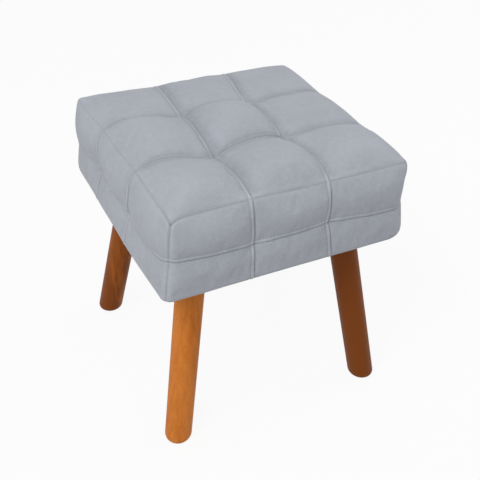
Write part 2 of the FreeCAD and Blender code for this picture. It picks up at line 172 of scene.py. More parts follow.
def carry_over(coarse: Array, fine: Array) -> Array:
    """Weights that carry values at coarse stations over to fine ones, by cubic convolution.

    Args:
        coarse: The stations where the values are known.
        fine: The stations where they are wanted.

    Returns:
        A matrix of fine by coarse.
    """
    place = np.interp(fine, coarse, np.arange(len(coarse)))
    base = np.clip(place.astype(int), 0, len(coarse) - 2)
    t = place - base
    shares = [
        -0.5 * t + t**2 - 0.5 * t**3,
        1 - 2.5 * t**2 + 1.5 * t**3,
        0.5 * t + 2 * t**2 - 1.5 * t**3,
        -0.5 * t**2 + 0.5 * t**3,
    ]
    weights = np.zeros((len(fine), len(coarse)))
    for offset, share in zip((-1, 0, 1, 2), shares):
        np.add.at(weights, (np.arange(len(fine)), np.clip(base + offset, 0, len(coarse) - 1)), share)
    return weights


def blended(rows: Array, grid: Array, columns: Array) -> Array:
    """A grid of vectors carried over to new rows and columns, each by its matrix of weights."""
    return np.einsum("ij,jkd,lk->ild", rows, grid, columns)


def line_between(grid: Array, along: Array, place: float, axis: int) -> Array:
    """The line of a grid at a place between two of its rows or columns, by linear interpolation.

    Args:
        grid: An array of rows by columns by 3.
        along: The places of its rows or columns.
        place: Where the line is taken.
        axis: 0 to take it between rows, 1 between columns.

    Returns:
        An array of points by 3.
    """
    after = int(np.clip(np.searchsorted(along, place), 1, len(along) - 1))
    share = (place - along[after - 1]) / (along[after] - along[after - 1])
    first, second = np.take(grid, after - 1, axis), np.take(grid, after, axis)
    return first + share * (second - first)


def travelled(chain: Array) -> Array:
    """Distance along a chain of points, from its start to each point."""
    return np.concatenate([[0], np.cumsum(np.linalg.norm(np.diff(chain, axis=0), axis=1))])


def on_chain(at: Array, distance: Array, chain: Array) -> Array:
    """Vectors at some distances along a chain of them, by linear interpolation."""
    return np.stack([np.interp(at, distance, column) for column in chain.T], axis=-1)


# Meshes


def mesh_of(name: str, points: Array, faces: list[Array], smooth: bool = True) -> Piece:
    """A new object at the origin.

    Args:
        name: The piece's name.
        points: An array whose last axis has X, Y and Z.
        faces: Arrays of faces by corners, one for each number of corners.
        smooth: Whether the faces are shaded smooth.

    Returns:
        The object, linked to the scene.
    """
    mesh = bpy.data.meshes.new(name)
    corners = [face.tolist() for group in faces for face in group]
    mesh.from_pydata(np.asarray(points, float).reshape(-1, 3), [], corners)
    mesh.polygons.foreach_set("use_smooth", np.full(len(mesh.polygons), smooth))
    mesh.update()
    made = bpy.data.objects.new(name, mesh)
    bpy.context.scene.collection.objects.link(made)
    return made


def numbered(rows: int, columns: int) -> Array:
    """The numbers of a grid's points, row by row."""
    return np.arange(rows * columns).reshape(rows, columns)


def rim_of(ids: Array) -> Array:
    """The numbers around a grid's rim, anticlockwise from its first point."""
    return np.concatenate([ids[0, :-1], ids[:-1, -1], ids[-1, :0:-1], ids[:0:-1, 0]])


def grid_faces(rows: int, columns: int, wrap: bool = False) -> Array:
    """Four-cornered faces of a grid whose points are numbered row by row.

    Args:
        rows: Rows of points.
        columns: Points in each row.
        wrap: Whether each row closes on itself.

    Returns:
        An array of faces by 4 that turn from the columns' direction to the rows' direction.
    """
    last = columns if wrap else columns - 1
    row, column = np.meshgrid(np.arange(rows - 1), np.arange(last), indexing="ij")
    here = row * columns + column
    beside = row * columns + (column + 1) % columns
    return np.stack([here, beside, beside + columns, here + columns], axis=-1).reshape(-1, 4)


def tube(rings: Array) -> Solid:
    """Points and faces of a tube through rings of points, closed by a flat face at each end.

    Args:
        rings: An array of rings by points by 3.

    Returns:
        Its points, and its faces by their number of corners.
    """
    rows, sides = rings.shape[:2]
    ids = numbered(rows, sides)
    return rings.reshape(-1, 3), [grid_faces(rows, sides, wrap=True), ids[0][::-1][None], ids[-1][None]]


def joined(solids: list[Solid]) -> Solid:
    """Several solids' points and faces as one.

    Args:
        solids: The points and faces of each.

    Returns:
        The points and faces of all.
    """
    faces = []
    start = 0
    for points, groups in solids:
        faces += [group + start for group in groups]
        start += len(points)
    return np.concatenate([points for points, _ in solids]), faces


def give_attribute(piece: Piece, name: str, values: Array) -> None:
    """Stores one number or one vector for each point of a piece's mesh.

    Args:
        piece: The piece.
        name: The name that the material reads.
        values: One number or one vector for each point.
    """
    kind, key = ("FLOAT", "value") if values.ndim == 1 else ("FLOAT_VECTOR", "vector")
    stored = piece.data.attributes.new(name, kind, "POINT")
    stored.data.foreach_set(key, np.ascontiguousarray(values, np.float32).ravel())


def thicken(piece: Piece, thickness: float) -> None:
    """Gives cloth its thickness, inwards from its outer face.

    Args:
        piece: The piece of cloth.
        thickness: Its thickness.
    """
    wall = piece.modifiers.new("cloth thickness", "SOLIDIFY")
    wall.thickness = thickness
    wall.offset = -1


def dress(piece: Piece, finish: Material, node: str = "") -> None:
    """Gives a piece its material and its body, and hides the node that it stands for, if any.

    Args:
        piece: The piece.
        finish: Its material.
        node: The node that it stands for, if any.
    """
    piece.data.materials.append(finish)
    if node:
        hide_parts(node)
    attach(piece, BODY)


# Shader nodes


class Value:
    """A shader socket that can stand in a sum, a difference or a product."""

    def __init__(self, recipe: "Recipe", socket: bpy.types.NodeSocket) -> None:
        """Keeps the socket and the recipe that it belongs to."""
        self.recipe = recipe
        self.socket = socket

    def _math(self, operation: str, first: object, second: object) -> "Value":
        """Adds one Math node."""
        return self.recipe.node("ShaderNodeMath", {"operation": operation}, {0: first, 1: second})

    def __add__(self, other: object) -> "Value":
        """Sum, in either order."""
        return self._math("ADD", self, other)

    def __sub__(self, other: object) -> "Value":
        """Difference."""
        return self._math("SUBTRACT", self, other)

    def __rsub__(self, other: object) -> "Value":
        """Difference from a number."""
        return self._math("SUBTRACT", other, self)

    def __mul__(self, other: object) -> "Value":
        """Product, in either order."""
        return self._math("MULTIPLY", self, other)

    __radd__ = __add__
    __rmul__ = __mul__


class Recipe:
    """One node tree, with one method that makes every node."""

    def __init__(self, name: str, kind: object = None) -> None:
        """Starts an empty material, or another kind of data that has nodes.

        Args:
            name: The material's name.
            kind: Where the data is kept: among the materials, unless it says otherwise.
        """
        self.owner = (bpy.data.materials if kind is None else kind).new(name)
        self.owner.use_nodes = True
        self.tree = self.owner.node_tree
        self.tree.nodes.clear()

    def node(self, kind: str, settings: dict | None = None, values: dict | None = None,
             out: int | str = 0) -> Value:
        """Adds a node.

        Args:
            kind: The node's type.
            settings: The node's own settings, set first. The key stops holds a ramp's stops.
            values: What goes into its sockets, by name or number: a Value is linked.
            out: Which of its outputs is returned, by name or number.

        Returns:
            The chosen output, or the node's first input where it has no output.
        """
        made = self.tree.nodes.new(kind)
        for key, setting in (settings or {}).items():
            if key == "stops":
                ramp = made.color_ramp
                while len(ramp.elements) < len(setting):
                    ramp.elements.new(0.5)
                for element, (place, colour) in zip(ramp.elements, setting):
                    element.position = place
                    element.color = (*colour, 1.0)
            else:
                setattr(made, key, setting)
        for key, value in (values or {}).items():
            socket = made.inputs[key]
            if isinstance(value, Value):
                self.tree.links.new(value.socket, socket)
            else:
                socket.default_value = (*value, 1.0) if socket.type == "RGBA" else value
        return Value(self, made.outputs[out] if len(made.outputs) else made.inputs[0])

    def place(self) -> Value:
        """The point's own place in the object, in metres."""
        return self.node("ShaderNodeTexCoord", out="Object")

    def noise(self, place: Value, scale: float | tuple, detail: float = 3.0, rough: float = 0.5) -> Value:
        """Soft random values from 0 to 1 about 0.5. Three scales stretch them along the axes.

        Args:
            place: The point.
            scale: Grains per metre, or three of them.
            detail: How many finer layers are added.
            rough: How strong they are.

        Returns:
            The random values.
        """
        if isinstance(scale, tuple):
            place = self.node("ShaderNodeVectorMath", {"operation": "MULTIPLY"}, {0: place, 1: scale})
            scale = 1.0
        values = {"Vector": place, "Scale": scale, "Detail": detail, "Roughness": rough}
        return self.node("ShaderNodeTexNoise", {}, values)

    def mix(self, share: object, first: object, second: object) -> Value:
        """A colour between two others."""
        settings = {"data_type": "RGBA", "clamp_factor": True}
        return self.node("ShaderNodeMix", settings, {0: share, 6: first, 7: second}, out=2)

    def attribute(self, name: str, out: str = "Fac") -> Value:
        """A number stored on the mesh, or with out as Vector a vector."""
        return self.node("ShaderNodeAttribute", {"attribute_name": name}, out=out)

    def finish(self, values: dict, height: Value, depth: float) -> Material:
        """Ends the material in one Principled surface.

        Args:
            values: The surface's sockets.
            height: What the fine relief follows.
            depth: The relief's depth in metres.

        Returns:
            The material.
        """
        relief = self.node("ShaderNodeBump", {}, {"Height": height, "Distance": depth})
        surface = self.node("ShaderNodeBsdfPrincipled", {}, {**values, "Normal": relief})
        self.node("ShaderNodeOutputMaterial", {}, {"Surface": surface})
        return self.owner


# Finishes


@dataclass(frozen=True)
class Suede:
    """Short-napped grey suede cloth, with soft patches where the nap lies another way."""

    light: tuple = (0.460, 0.478, 0.528)
    dark: tuple = (0.320, 0.335, 0.371)
    patch_scale: float = 18.0
    mottle_scale: float = 130.0
    speck_scale: float = 420.0
    nap_scale: float = 1300.0
    brush_scales: tuple = (160.0, 160.0, 26.0)

    def material(self) -> Material:
        """The suede, with a painted highlight on its raised seam strips and painted shade in its ditches and
        valleys.

        Returns:
            The material.
        """
        recipe = Recipe("grey_suede")
        place = recipe.place()
        patches = recipe.noise(place, self.patch_scale, 2.0) - 0.5
        mottle = recipe.noise(place, self.mottle_scale, 3.0, 0.6) - 0.5
        specks = recipe.noise(place, self.speck_scale, 2.0, 0.6) - 0.5
        brushed = recipe.noise(place, self.brush_scales, 2.0) - 0.5
        nap = recipe.noise(place, self.nap_scale, 2.0)
        soft = 0.55 * patches + 0.45 * mottle + 0.15 * brushed
        # Painted light and shade from the seams' relief: lighter on raised strips, darker in ditches and
        # valleys.
        share = 0.5 + soft + 0.45 * specks + 0.25 * (nap - 0.5) + 0.75 * recipe.attribute("rubbed")
        values = {
            "Base Color": recipe.mix(share, self.dark, self.light),
            "Roughness": 0.9,
            "Specular IOR Level": 0.2,
            "Sheen Weight": 0.2,
            "Sheen Roughness": 0.45,
            "Sheen Tint": (0.85, 0.87, 0.92),
        }
        return recipe.finish(values, 0.6 * nap + 0.9 * specks + 0.8 * mottle, 0.0005)


@dataclass(frozen=True)
class StainedWood:
    """Turned hardwood, stained orange-brown under a satin lacquer."""

    light: tuple = (0.64, 0.208, 0.036)
    middle: tuple = (0.52, 0.150, 0.018)
    dark: tuple = (0.20, 0.050, 0.005)

    def material(self) -> Material:
        """The wood, whose grain follows the leg's own axis, and whose colour is offset leg by leg: partly
        stain, partly painted shade and painted light for how each leg stands in the light.

        Returns:
            The material.
        """
        recipe = Recipe("stained_wood_lacquered")
        place = recipe.attribute("grain", out="Vector")
        figure = recipe.noise(place, (34.0, 34.0, 2.6), 4.0, 0.6)
        streak = recipe.noise(place, (170.0, 170.0, 4.0), 3.0, 0.6)
        pores = recipe.noise(place, (1500.0, 1500.0, 42.0), 2.0)
        # The leg's offset adds painted shade to the shaded legs and painted light to the front-left leg, on
        # top of the grain.
        share = 0.85 * figure + 0.5 * streak - 0.175 + recipe.attribute("tone")
        stops = [(0.18, self.dark), (0.5, self.middle), (0.78, self.light)]
        stain = recipe.node("ShaderNodeValToRGB", {"stops": stops}, {0: share})
        mask = recipe.node("ShaderNodeMapRange", {}, {0: pores, 1: 0.56, 2: 0.72, 3: 0.0, 4: 0.5})
        values = {
            "Base Color": recipe.mix(mask, stain, self.dark),
            "Roughness": 0.40 + 0.16 * streak,
            "Specular IOR Level": 0.09,
            "Coat Weight": 0.03,
            "Coat Roughness": 0.25,
        }
        return recipe.finish(values, 1 - mask, 0.00012)


@dataclass(frozen=True)
class SawnWood:
    """Raw sawn softwood or plywood, with its grain along one axis."""

    name: str
    light: tuple
    dark: tuple
    grain: tuple = (3.0, 60.0, 60.0)

    def material(self) -> Material:
        """The raw wood.

        Returns:
            The material.
        """
        recipe = Recipe(self.name)
        grain = recipe.noise(recipe.place(), self.grain, 5.0, 0.65)
        fibre = recipe.noise(recipe.place(), tuple(9 * x for x in self.grain), 2.0)
        values = {
            "Base Color": recipe.mix(0.8 * grain + 0.4 * fibre - 0.1, self.dark, self.light),
            "Roughness": 0.65 + 0.2 * grain,
            "Specular IOR Level": 0.25,
        }
        return recipe.finish(values, fibre, 0.0003)


@dataclass(frozen=True)
class SmallStuff:
    """A plain material that still varies: zinc plate, moulded plastic, foam, twine or thin cloth."""

    name: str
    light: tuple
    dark: tuple
    scale: float
    roughness: float
    metallic: float = 0.0
    depth: float = 0.0002

    def material(self) -> Material:
        """The material, with its colour, gloss and relief from one fine pattern.

        Returns:
            The material.
        """
        recipe = Recipe(self.name)
        fine = recipe.noise(recipe.place(), self.scale, 4.0, 0.6)
        broad = recipe.noise(recipe.place(), self.scale / 12, 2.0)
        values = {
            "Base Color": recipe.mix(0.6 * fine + 0.6 * broad - 0.1, self.dark, self.light),
            "Roughness": self.roughness + 0.15 * (fine - 0.5),
            "Metallic": self.metallic,
        }
        return recipe.finish(values, fine, self.depth)


@dataclass(frozen=True)
class Thread:
    """Sewing thread, twisted, in the colour of the cover."""

    light: tuple = (0.36, 0.375, 0.415)
    dark: tuple = (0.27, 0.28, 0.31)

    def material(self) -> Material:
        """The thread.

        Returns:
            The material.
        """
        recipe = Recipe("grey_thread")
        ply = recipe.noise(recipe.place(), 2200.0, 2.0)
        base = recipe.mix(ply, self.dark, self.light)
        return recipe.finish({"Base Color": base, "Roughness": 0.7, "Sheen Weight": 0.2}, ply, 0.0001)


# Seat


@dataclass(frozen=True)
class SeatFrame:
    """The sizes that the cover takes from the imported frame."""

    half: float
    hem_z: float
    waist_z: float
    edge_z: float
    tuft_z: float
    seam: float
    deck_z: float

    @classmethod
    def measured(cls) -> "SeatFrame":
        """Reads the sizes from the rails, the ties, the deck and the cover's own solids.

        Returns:
            The sizes.
        """
        washer_radius = 0.008
        ties_low, ties_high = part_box("side_ties")
        return cls(
            half=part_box("rail_front")[1].x,
            hem_z=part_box("cover_front")[0].z,
            waist_z=(ties_low.z + ties_high.z) / 2,
            edge_z=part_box("cover_front")[1].z,
            tuft_z=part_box("top_ties")[1].z,
            seam=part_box("top_tie_washers")[1].x - washer_radius,
            deck_z=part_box("deck_board")[1].z,
        )


@dataclass(frozen=True)
class Drift:
    """How far the sewn seams stray from an even grid, in millimetres along X, Y and Z.

    The ring lists twelve places for each level: the front left corner, the two cross seams of the
    front, the front right corner and so on anticlockwise. The tufts are listed front row first.
    """

    edge: tuple = (
        ((5.5, 0, 1.5), (0, 0, 3.6), (-3.7, 0, 0.8)),
        ((2, 0, 1.5), (2.6, 0, 0.4), (0.5, 0, -1.2)),
        ((0, 0, 0), (5.9, 0, 2.5), (6, 0, 3)),
        ((-5, 3, 5), (2.3, 14.7, 0), (5.8, 2.4, 2)),
    )
    waist: tuple = (
        ((4.5, 0, 0), (0, 0, -3.5), (-6, 0, -1)),
        ((1, 0, -9), (0, 0, -4), (0, 0, -4)),
        ((0, 0, -7), (0, 0, -4), (0, 0, -4)),
        ((-3.5, 0, -8), (4.5, 11, -7), (6, 12, -12)),
    )
    hem: tuple = (
        ((4, 0, -2), (-1.2, 0, 0), (0, 0, 0)),
        ((0, 0, 0), (0, 0, 0), (0, 0, 0)),
        ((0, 0, 0), (0, 0, 0), (0, 0, 0)),
        ((0, 0, 0), (0, 13, 0), (0, 4, 0)),
    )
    tufts: tuple = (((-0.9, -5, -2.5), (-10.7, 0, 0.4)), ((0.6, -6.2, 3), (-9.1, -4.1, 0.5)))

    @property
    def ring(self) -> Array:
        """Drifts in metres, as an array of three levels by twelve places by 3."""
        return np.array([self.edge, self.waist, self.hem], float).reshape(3, 12, 3) / 1000

    @property
    def top(self) -> Array:
        """Drifts in metres of the top's four by four crossings, with rows along Y.

        Returns:
            An array of 4 by 4 by 3.
        """
        grid = np.zeros((4, 4, 3))
        edge = self.ring[0]
        grid[0], grid[-1] = edge[[0, 1, 2, 3]], edge[[9, 8, 7, 6]]
        grid[1:3, 0], grid[1:3, -1] = edge[[11, 10]], edge[[4, 5]]
        grid[1:3, 1:3] = np.array(self.tufts, float) / 1000
        return grid


@dataclass(frozen=True)
class CoverShape:
    """The cover's outer surface, as formulas on the seat's two rounded directions.

    A side's station runs from corner to corner, straight in the middle and along a fan of rays in
    the last stretch. Its level runs down the unrolled section, from the edge seam over the waist
    seam and the hem's roll to the end of the lap under the frame. Where a size differs from side to
    side or corner to corner, its tuple starts with the front or the front left.
    """

    seat: SeatFrame
    drift: Drift = Drift()
    fan: float = 0.060
    edge_pad: float = 0.010
    waist_pad: float = 0.020
    hem_pad: float = 0.028
    upper_bulges: tuple = (0.005, 0.003, 0.004, 0.008)
    ear_bulge: float = 0.004
    ear_sink: float = 0.001
    upper_puff: float = 0.0045
    waist_puff: float = 0.0035
    lower_bulge: float = 0.0005
    lower_puff: float = 0.0015
    left_lean: float = 0.001
    roll: float = 0.009
    lap: float = 0.014
    edge_corners: tuple = (0.008, 0.008, 0.008, 0.008)
    upper_corners: tuple = (0.015, 0.028, 0.016, 0.022)
    waist_corners: tuple = (0.020, 0.040, 0.030, 0.028)
    hem_corners: tuple = (0.016, 0.042, 0.038, 0.036)
    sharpest: float = 0.002
    edge_arches: tuple = (-0.0010, 0.0020, 0.0012, -0.0035)
    waist_arches: tuple = ((0, 0, 0), (0, 0, 0), (0, 0, 0), (0, 0, -0.0075))
    corner_dips: tuple = (0.0100, 0.0030, 0.0010, 0.0000)
    dip_width: float = 0.0065
    crown_skew: float = 1.45
    cell_power: float = 3.0
    long_crowns: tuple = ((0.0105, 0.008, 0.005), (0.014, 0.008, 0.005))
    cross_crowns: tuple = ((0.012, 0.012, 0.008), (0.012, 0.011, 0.008))
    cell_crowns: tuple = ((0.016, 0.014, 0.012), (0.010, 0.010, 0.002), (0.002, 0.003, 0.001))

    @property
    def pivot(self) -> float:
        """Where the straight part of a side ends."""
        return self.seat.half + self.hem_pad - self.fan

    @property
    def end(self) -> float:
        """The station of a corner."""
        return self.pivot + self.fan * math.pi / 4

    @property
    def lines(self) -> Array:
        """The stations of the two corners and of the two cross seams between them."""
        return np.array([-self.end, -self.seat.seam, self.seat.seam, self.end])

    @property
    def levels(self) -> list[float]:
        """The levels of the edge seam, the waist seam, the roll's start and end, and the lap's end.

        Returns:
            The five levels in rising order.
        """
        waist = self.seat.edge_z - self.seat.waist_z
        roll = waist + self.seat.waist_z - self.seat.hem_z - self.roll
        flat = roll + self.roll * math.pi / 2
        return [0.0, waist, roll, flat, flat + self.hem_pad - self.roll + self.lap]

    def cell(self, station: Array) -> Array:
        """The number of each station's cell, from 0 to 2."""
        return np.clip(np.searchsorted(self.lines, station, side="right") - 1, 0, 2)

    def cell_share(self, station: Array) -> Array:
        """How far a station lies across its own cell, from 0 to 1.

        Args:
            station: The stations.

        Returns:
            Their shares, which rise inwards in an outer cell.
        """
        seam, end = self.seat.seam, self.end
        outer = (end - np.abs(station)) / (end - seam)
        return np.where(np.abs(station) < seam, (station + seam) / (2 * seam), outer)

    def crown(self, station: Array, power: float = 2.2) -> Array:
        """A crown's profile along a line: in an outer stretch, its top lies nearer to the edge.

        Args:
            station: The stations.
            power: The pillow's power.

        Returns:
            Heights from 0 to 1.
        """
        share = self.cell_share(station)
        skewed = 1 - (1 - share) ** self.crown_skew
        return pillow(np.where(np.abs(station) < self.seat.seam, share, skewed), power)

    def line_shares(self, station: Array) -> Array:
        """Each station's shares of the four seam lines: a smoothstep from each line to the next.

        Args:
            station: The stations.

        Returns:
            An array of stations by 4, whose rows add up to 1.
        """
        lines, cell = self.lines, self.cell(station)
        share = smoothstep((station - lines[cell]) / (lines[cell + 1] - lines[cell]))
        shares = np.zeros((len(station), 4))
        rows = np.arange(len(station))
        shares[rows, cell], shares[rows, cell + 1] = 1 - share, share
        return shares

    def edge_height(self, side: Side, station: Array) -> Array:
        """Height of the edge seam: a small arch or sag over each cell, and a pointed dip at each corner.

        Args:
            side: Which side.
            station: The stations.

        Returns:
            The heights.
        """
        arch = self.edge_arches[side.value] * pillow(self.cell_share(station))
        depth = np.where(station < 0, self.corner_dips[side.value], self.corner_dips[side.after.value])
        return self.seat.edge_z + arch - depth * np.exp((np.abs(station) - self.end) / self.dip_width)

    def corner_radius(self, corner: int, level: Array) -> Array:
        """An upright corner's radius, which widens downwards in three straight runs.

        Args:
            corner: The corner's number, from the front left anticlockwise.
            level: The levels.

        Returns:
            The radii.
        """
        _, waist, roll, _, _ = self.levels
        sets = (self.edge_corners, self.upper_corners, self.waist_corners, self.hem_corners)
        return np.interp(level, [0, waist / 2, waist, roll], [radii[corner] for radii in sets])

    def padding(self, side: Side, station: Array, upper: Array, lower: Array) -> Array:
        """The padding's thickness over the frame.

        It runs straight from the edge seam's to the waist seam's and on to the hem's, plus a pillow
        across each band and each cell. Near a corner, an ear's bulge takes the upper one's place: 2.6
        times the root of the share down the band, times one minus that share.

        Args:
            side: Which side.
            station: The stations, as a row.
            upper: Shares down the upper band, as a column.
            lower: Shares down the lower band, as a column.

        Returns:
            An array of rows by columns.
        """
        cell = pillow(self.cell_share(station))
        ear = smoothstep((np.abs(station) - self.pivot) / (self.end - self.pivot))
        lean = self.left_lean if side is Side.LEFT else 0.0
        waist = self.waist_pad + self.waist_puff * cell
        hem = self.hem_pad + lean * smoothstep((self.end - np.abs(station)) / self.fan)
        pad = self.edge_pad + (waist - self.edge_pad) * upper + (hem - waist) * lower
        bulge = self.upper_bulges[side.value] * (1 - ear) - self.ear_sink * ear
        pad = pad + bulge * shoulder(upper) + self.upper_puff * cell * pillow(upper)
        pad = pad + self.ear_bulge * ear * 2.6 * np.sqrt(upper) * (1 - upper)
        return pad + (self.lower_bulge + self.lower_puff * cell) * pillow(lower)

    def outline(self, station: Array, half: Array, corner: Array) -> Array:
        """Place on a rounded square of a half size and a corner radius.

        On the straight part the ray leaves the side square. In the fan it turns by up to an eighth
        about the pivot, and ends on the square's straight side or, past that, on its round corner:
        the larger root of the corner circle's equation along the ray.

        Args:
            station: Stations along the side.
            half: The square's half size at each of them.
            corner: The corner radius at each of them.

        Returns:
            X and Y in the front side's place.
        """
        turn = np.maximum(np.abs(station) - self.pivot, 0) / self.fan
        straight = (half - self.pivot) / np.cos(turn)
        centre = half - corner - self.pivot
        along = centre * (np.sin(turn) + np.cos(turn))
        round_reach = along + np.sqrt(np.maximum(along**2 - 2 * centre**2 + corner**2, 0))
        reach = np.where(straight * np.sin(turn) <= centre, straight, round_reach)
        x = np.clip(station, -self.pivot, self.pivot) + np.sign(station) * np.sin(turn) * reach
        return np.stack([x, -(self.pivot + np.cos(turn) * reach)], axis=-1)

    def side(self, side: Side, station: Array, level: Array) -> Array:
        """The outer surface of one side.

        Below the two bands the section rolls through a quarter circle and runs flat under the frame.
        The seams' drift is blended in by each point's shares of the seam lines, and its height fades
        over the roll, so that the lap stays flat.

        Args:
            side: Which side.
            station: The stations, one for each column.
            level: The levels, one for each row.

        Returns:
            An array of rows by columns by 3.
        """
        s, q = station[None, :], level[:, None]
        _, waist_q, roll_q, flat_q, _ = self.levels
        upper = np.clip(q / waist_q, 0, 1)
        lower = np.clip((q - waist_q) / (roll_q - waist_q), 0, 1)
        roll_turn = np.clip((q - roll_q) / self.roll, 0, math.pi / 2)
        tuck_in = self.roll * (1 - np.cos(roll_turn)) + np.maximum(q - flat_q, 0)
        edge_z, waist_z = self.edge_height(side, s), self.seat.waist_z
        z = edge_z + (waist_z - edge_z) * upper + (self.seat.hem_z + self.roll - waist_z) * lower
        z = z - self.roll * np.sin(roll_turn)
        arches = np.array(self.waist_arches[side.value])[self.cell(s)]
        z = z + arches * pillow(self.cell_share(s)) * (upper - lower)
        ends = [self.corner_radius(end.value, q) for end in (side, side.after)]
        corner = np.maximum(np.where(s < 0, *ends) - tuck_in, self.sharpest)
        half = self.seat.half + self.padding(side, s, upper, lower) - tuck_in
        plan = self.outline(*np.broadcast_arrays(s, half, corner))
        even = np.stack(np.broadcast_arrays(*side.turned(plan[..., 0], plan[..., 1]), z), axis=-1)
        nodes = np.take(self.drift.ring, range(3 * side.value, 3 * side.value + 4), axis=1, mode="wrap")
        down = np.stack([1 - upper, upper - lower, lower], axis=-1)[:, 0]
        moves = blended(down, nodes, self.line_shares(station))
        moves[..., 2] *= 1 - smoothstep((q - roll_q) / (flat_q - roll_q))
        return even + moves

    def seam_height(self, place: Array, ends: tuple[float, float], crowns: tuple) -> Array:
        """Height of a seam across the top: straight from edge to tuft to tuft to edge, plus three crowns."""
        heights = [ends[0], self.seat.tuft_z, self.seat.tuft_z, ends[1]]
        return np.interp(place, self.lines, heights) + np.array(crowns)[self.cell(place)] * self.crown(place)

    def top(self, station: Array) -> Array:
        """The outer surface of the top panel.

        In plan, a square grid is bent onto the four sides' edge seams: each side's shift fades
        inwards as a smoothstep, and what two sides share at a corner is taken off once. Its height
        is the Boolean sum of the heights along the four lines each way, which is the blend along X
        plus the blend along Y minus the blend of the crossings, plus a pillow in each cell.

        Args:
            station: The stations both ways.

        Returns:
            An array of stations by stations by 3, with rows along Y.
        """
        lines = self.lines
        stretch = (self.seat.half + self.edge_pad - self.pivot) / (self.end - self.pivot)
        over = np.maximum(np.abs(station) - self.pivot, 0)
        even = np.clip(station, -self.pivot, self.pivot) + np.sign(station) * over * stretch
        plan = np.stack(np.meshgrid(even, even), axis=-1)
        shares = self.line_shares(station)
        drift = self.drift.top
        front, right, back, left = (self.side(side, station, np.zeros(1))[0] for side in Side)
        across = np.stack([front - shares @ drift[0], back[::-1] - shares @ drift[-1]])
        along = np.stack([left[::-1] - shares @ drift[:, 0], right - shares @ drift[:, -1]])
        fade = smoothstep((-station - self.seat.seam) / (self.end - self.seat.seam))
        fades = np.stack([fade, fade[::-1]])
        across_moves = across[..., :2] - plan[[0, -1]]
        along_moves = along[..., :2] - plan[:, [0, -1]].swapaxes(0, 1)
        shift = np.einsum("ri,rjd->ijd", fades, across_moves) + np.einsum("rj,rid->ijd", fades, along_moves)
        shift -= np.einsum("ri,cj,rcd->ijd", fades, fades, across_moves[:, [0, -1]])
        hats = np.stack([np.interp(station, lines, row) for row in np.eye(4)])
        along_y, along_x = [along[0, :, 2]], [across[0, :, 2]]
        inner = np.searchsorted(station, lines)[1:3]
        for line, long, cross in zip(inner, self.long_crowns, self.cross_crowns):
            along_y.append(self.seam_height(station, across[:, line, 2], long))
            along_x.append(self.seam_height(station, along[:, line, 2], cross))
        along_y = np.stack([*along_y, along[1, :, 2]])
        along_x = np.stack([*along_x, across[1, :, 2]])
        crossings = np.stack([np.interp(lines, station, row) for row in along_y])
        z = along_y.T @ hats + hats.T @ along_x - hats.T @ crossings.T @ hats
        cell, profile = self.cell(station), self.crown(station, self.cell_power)
        z = z + np.array(self.cell_crowns)[np.ix_(cell, cell)] * np.outer(profile, profile)
        return np.concatenate([plan + shift, z[..., None]], axis=-1) + blended(shares, drift, shares)


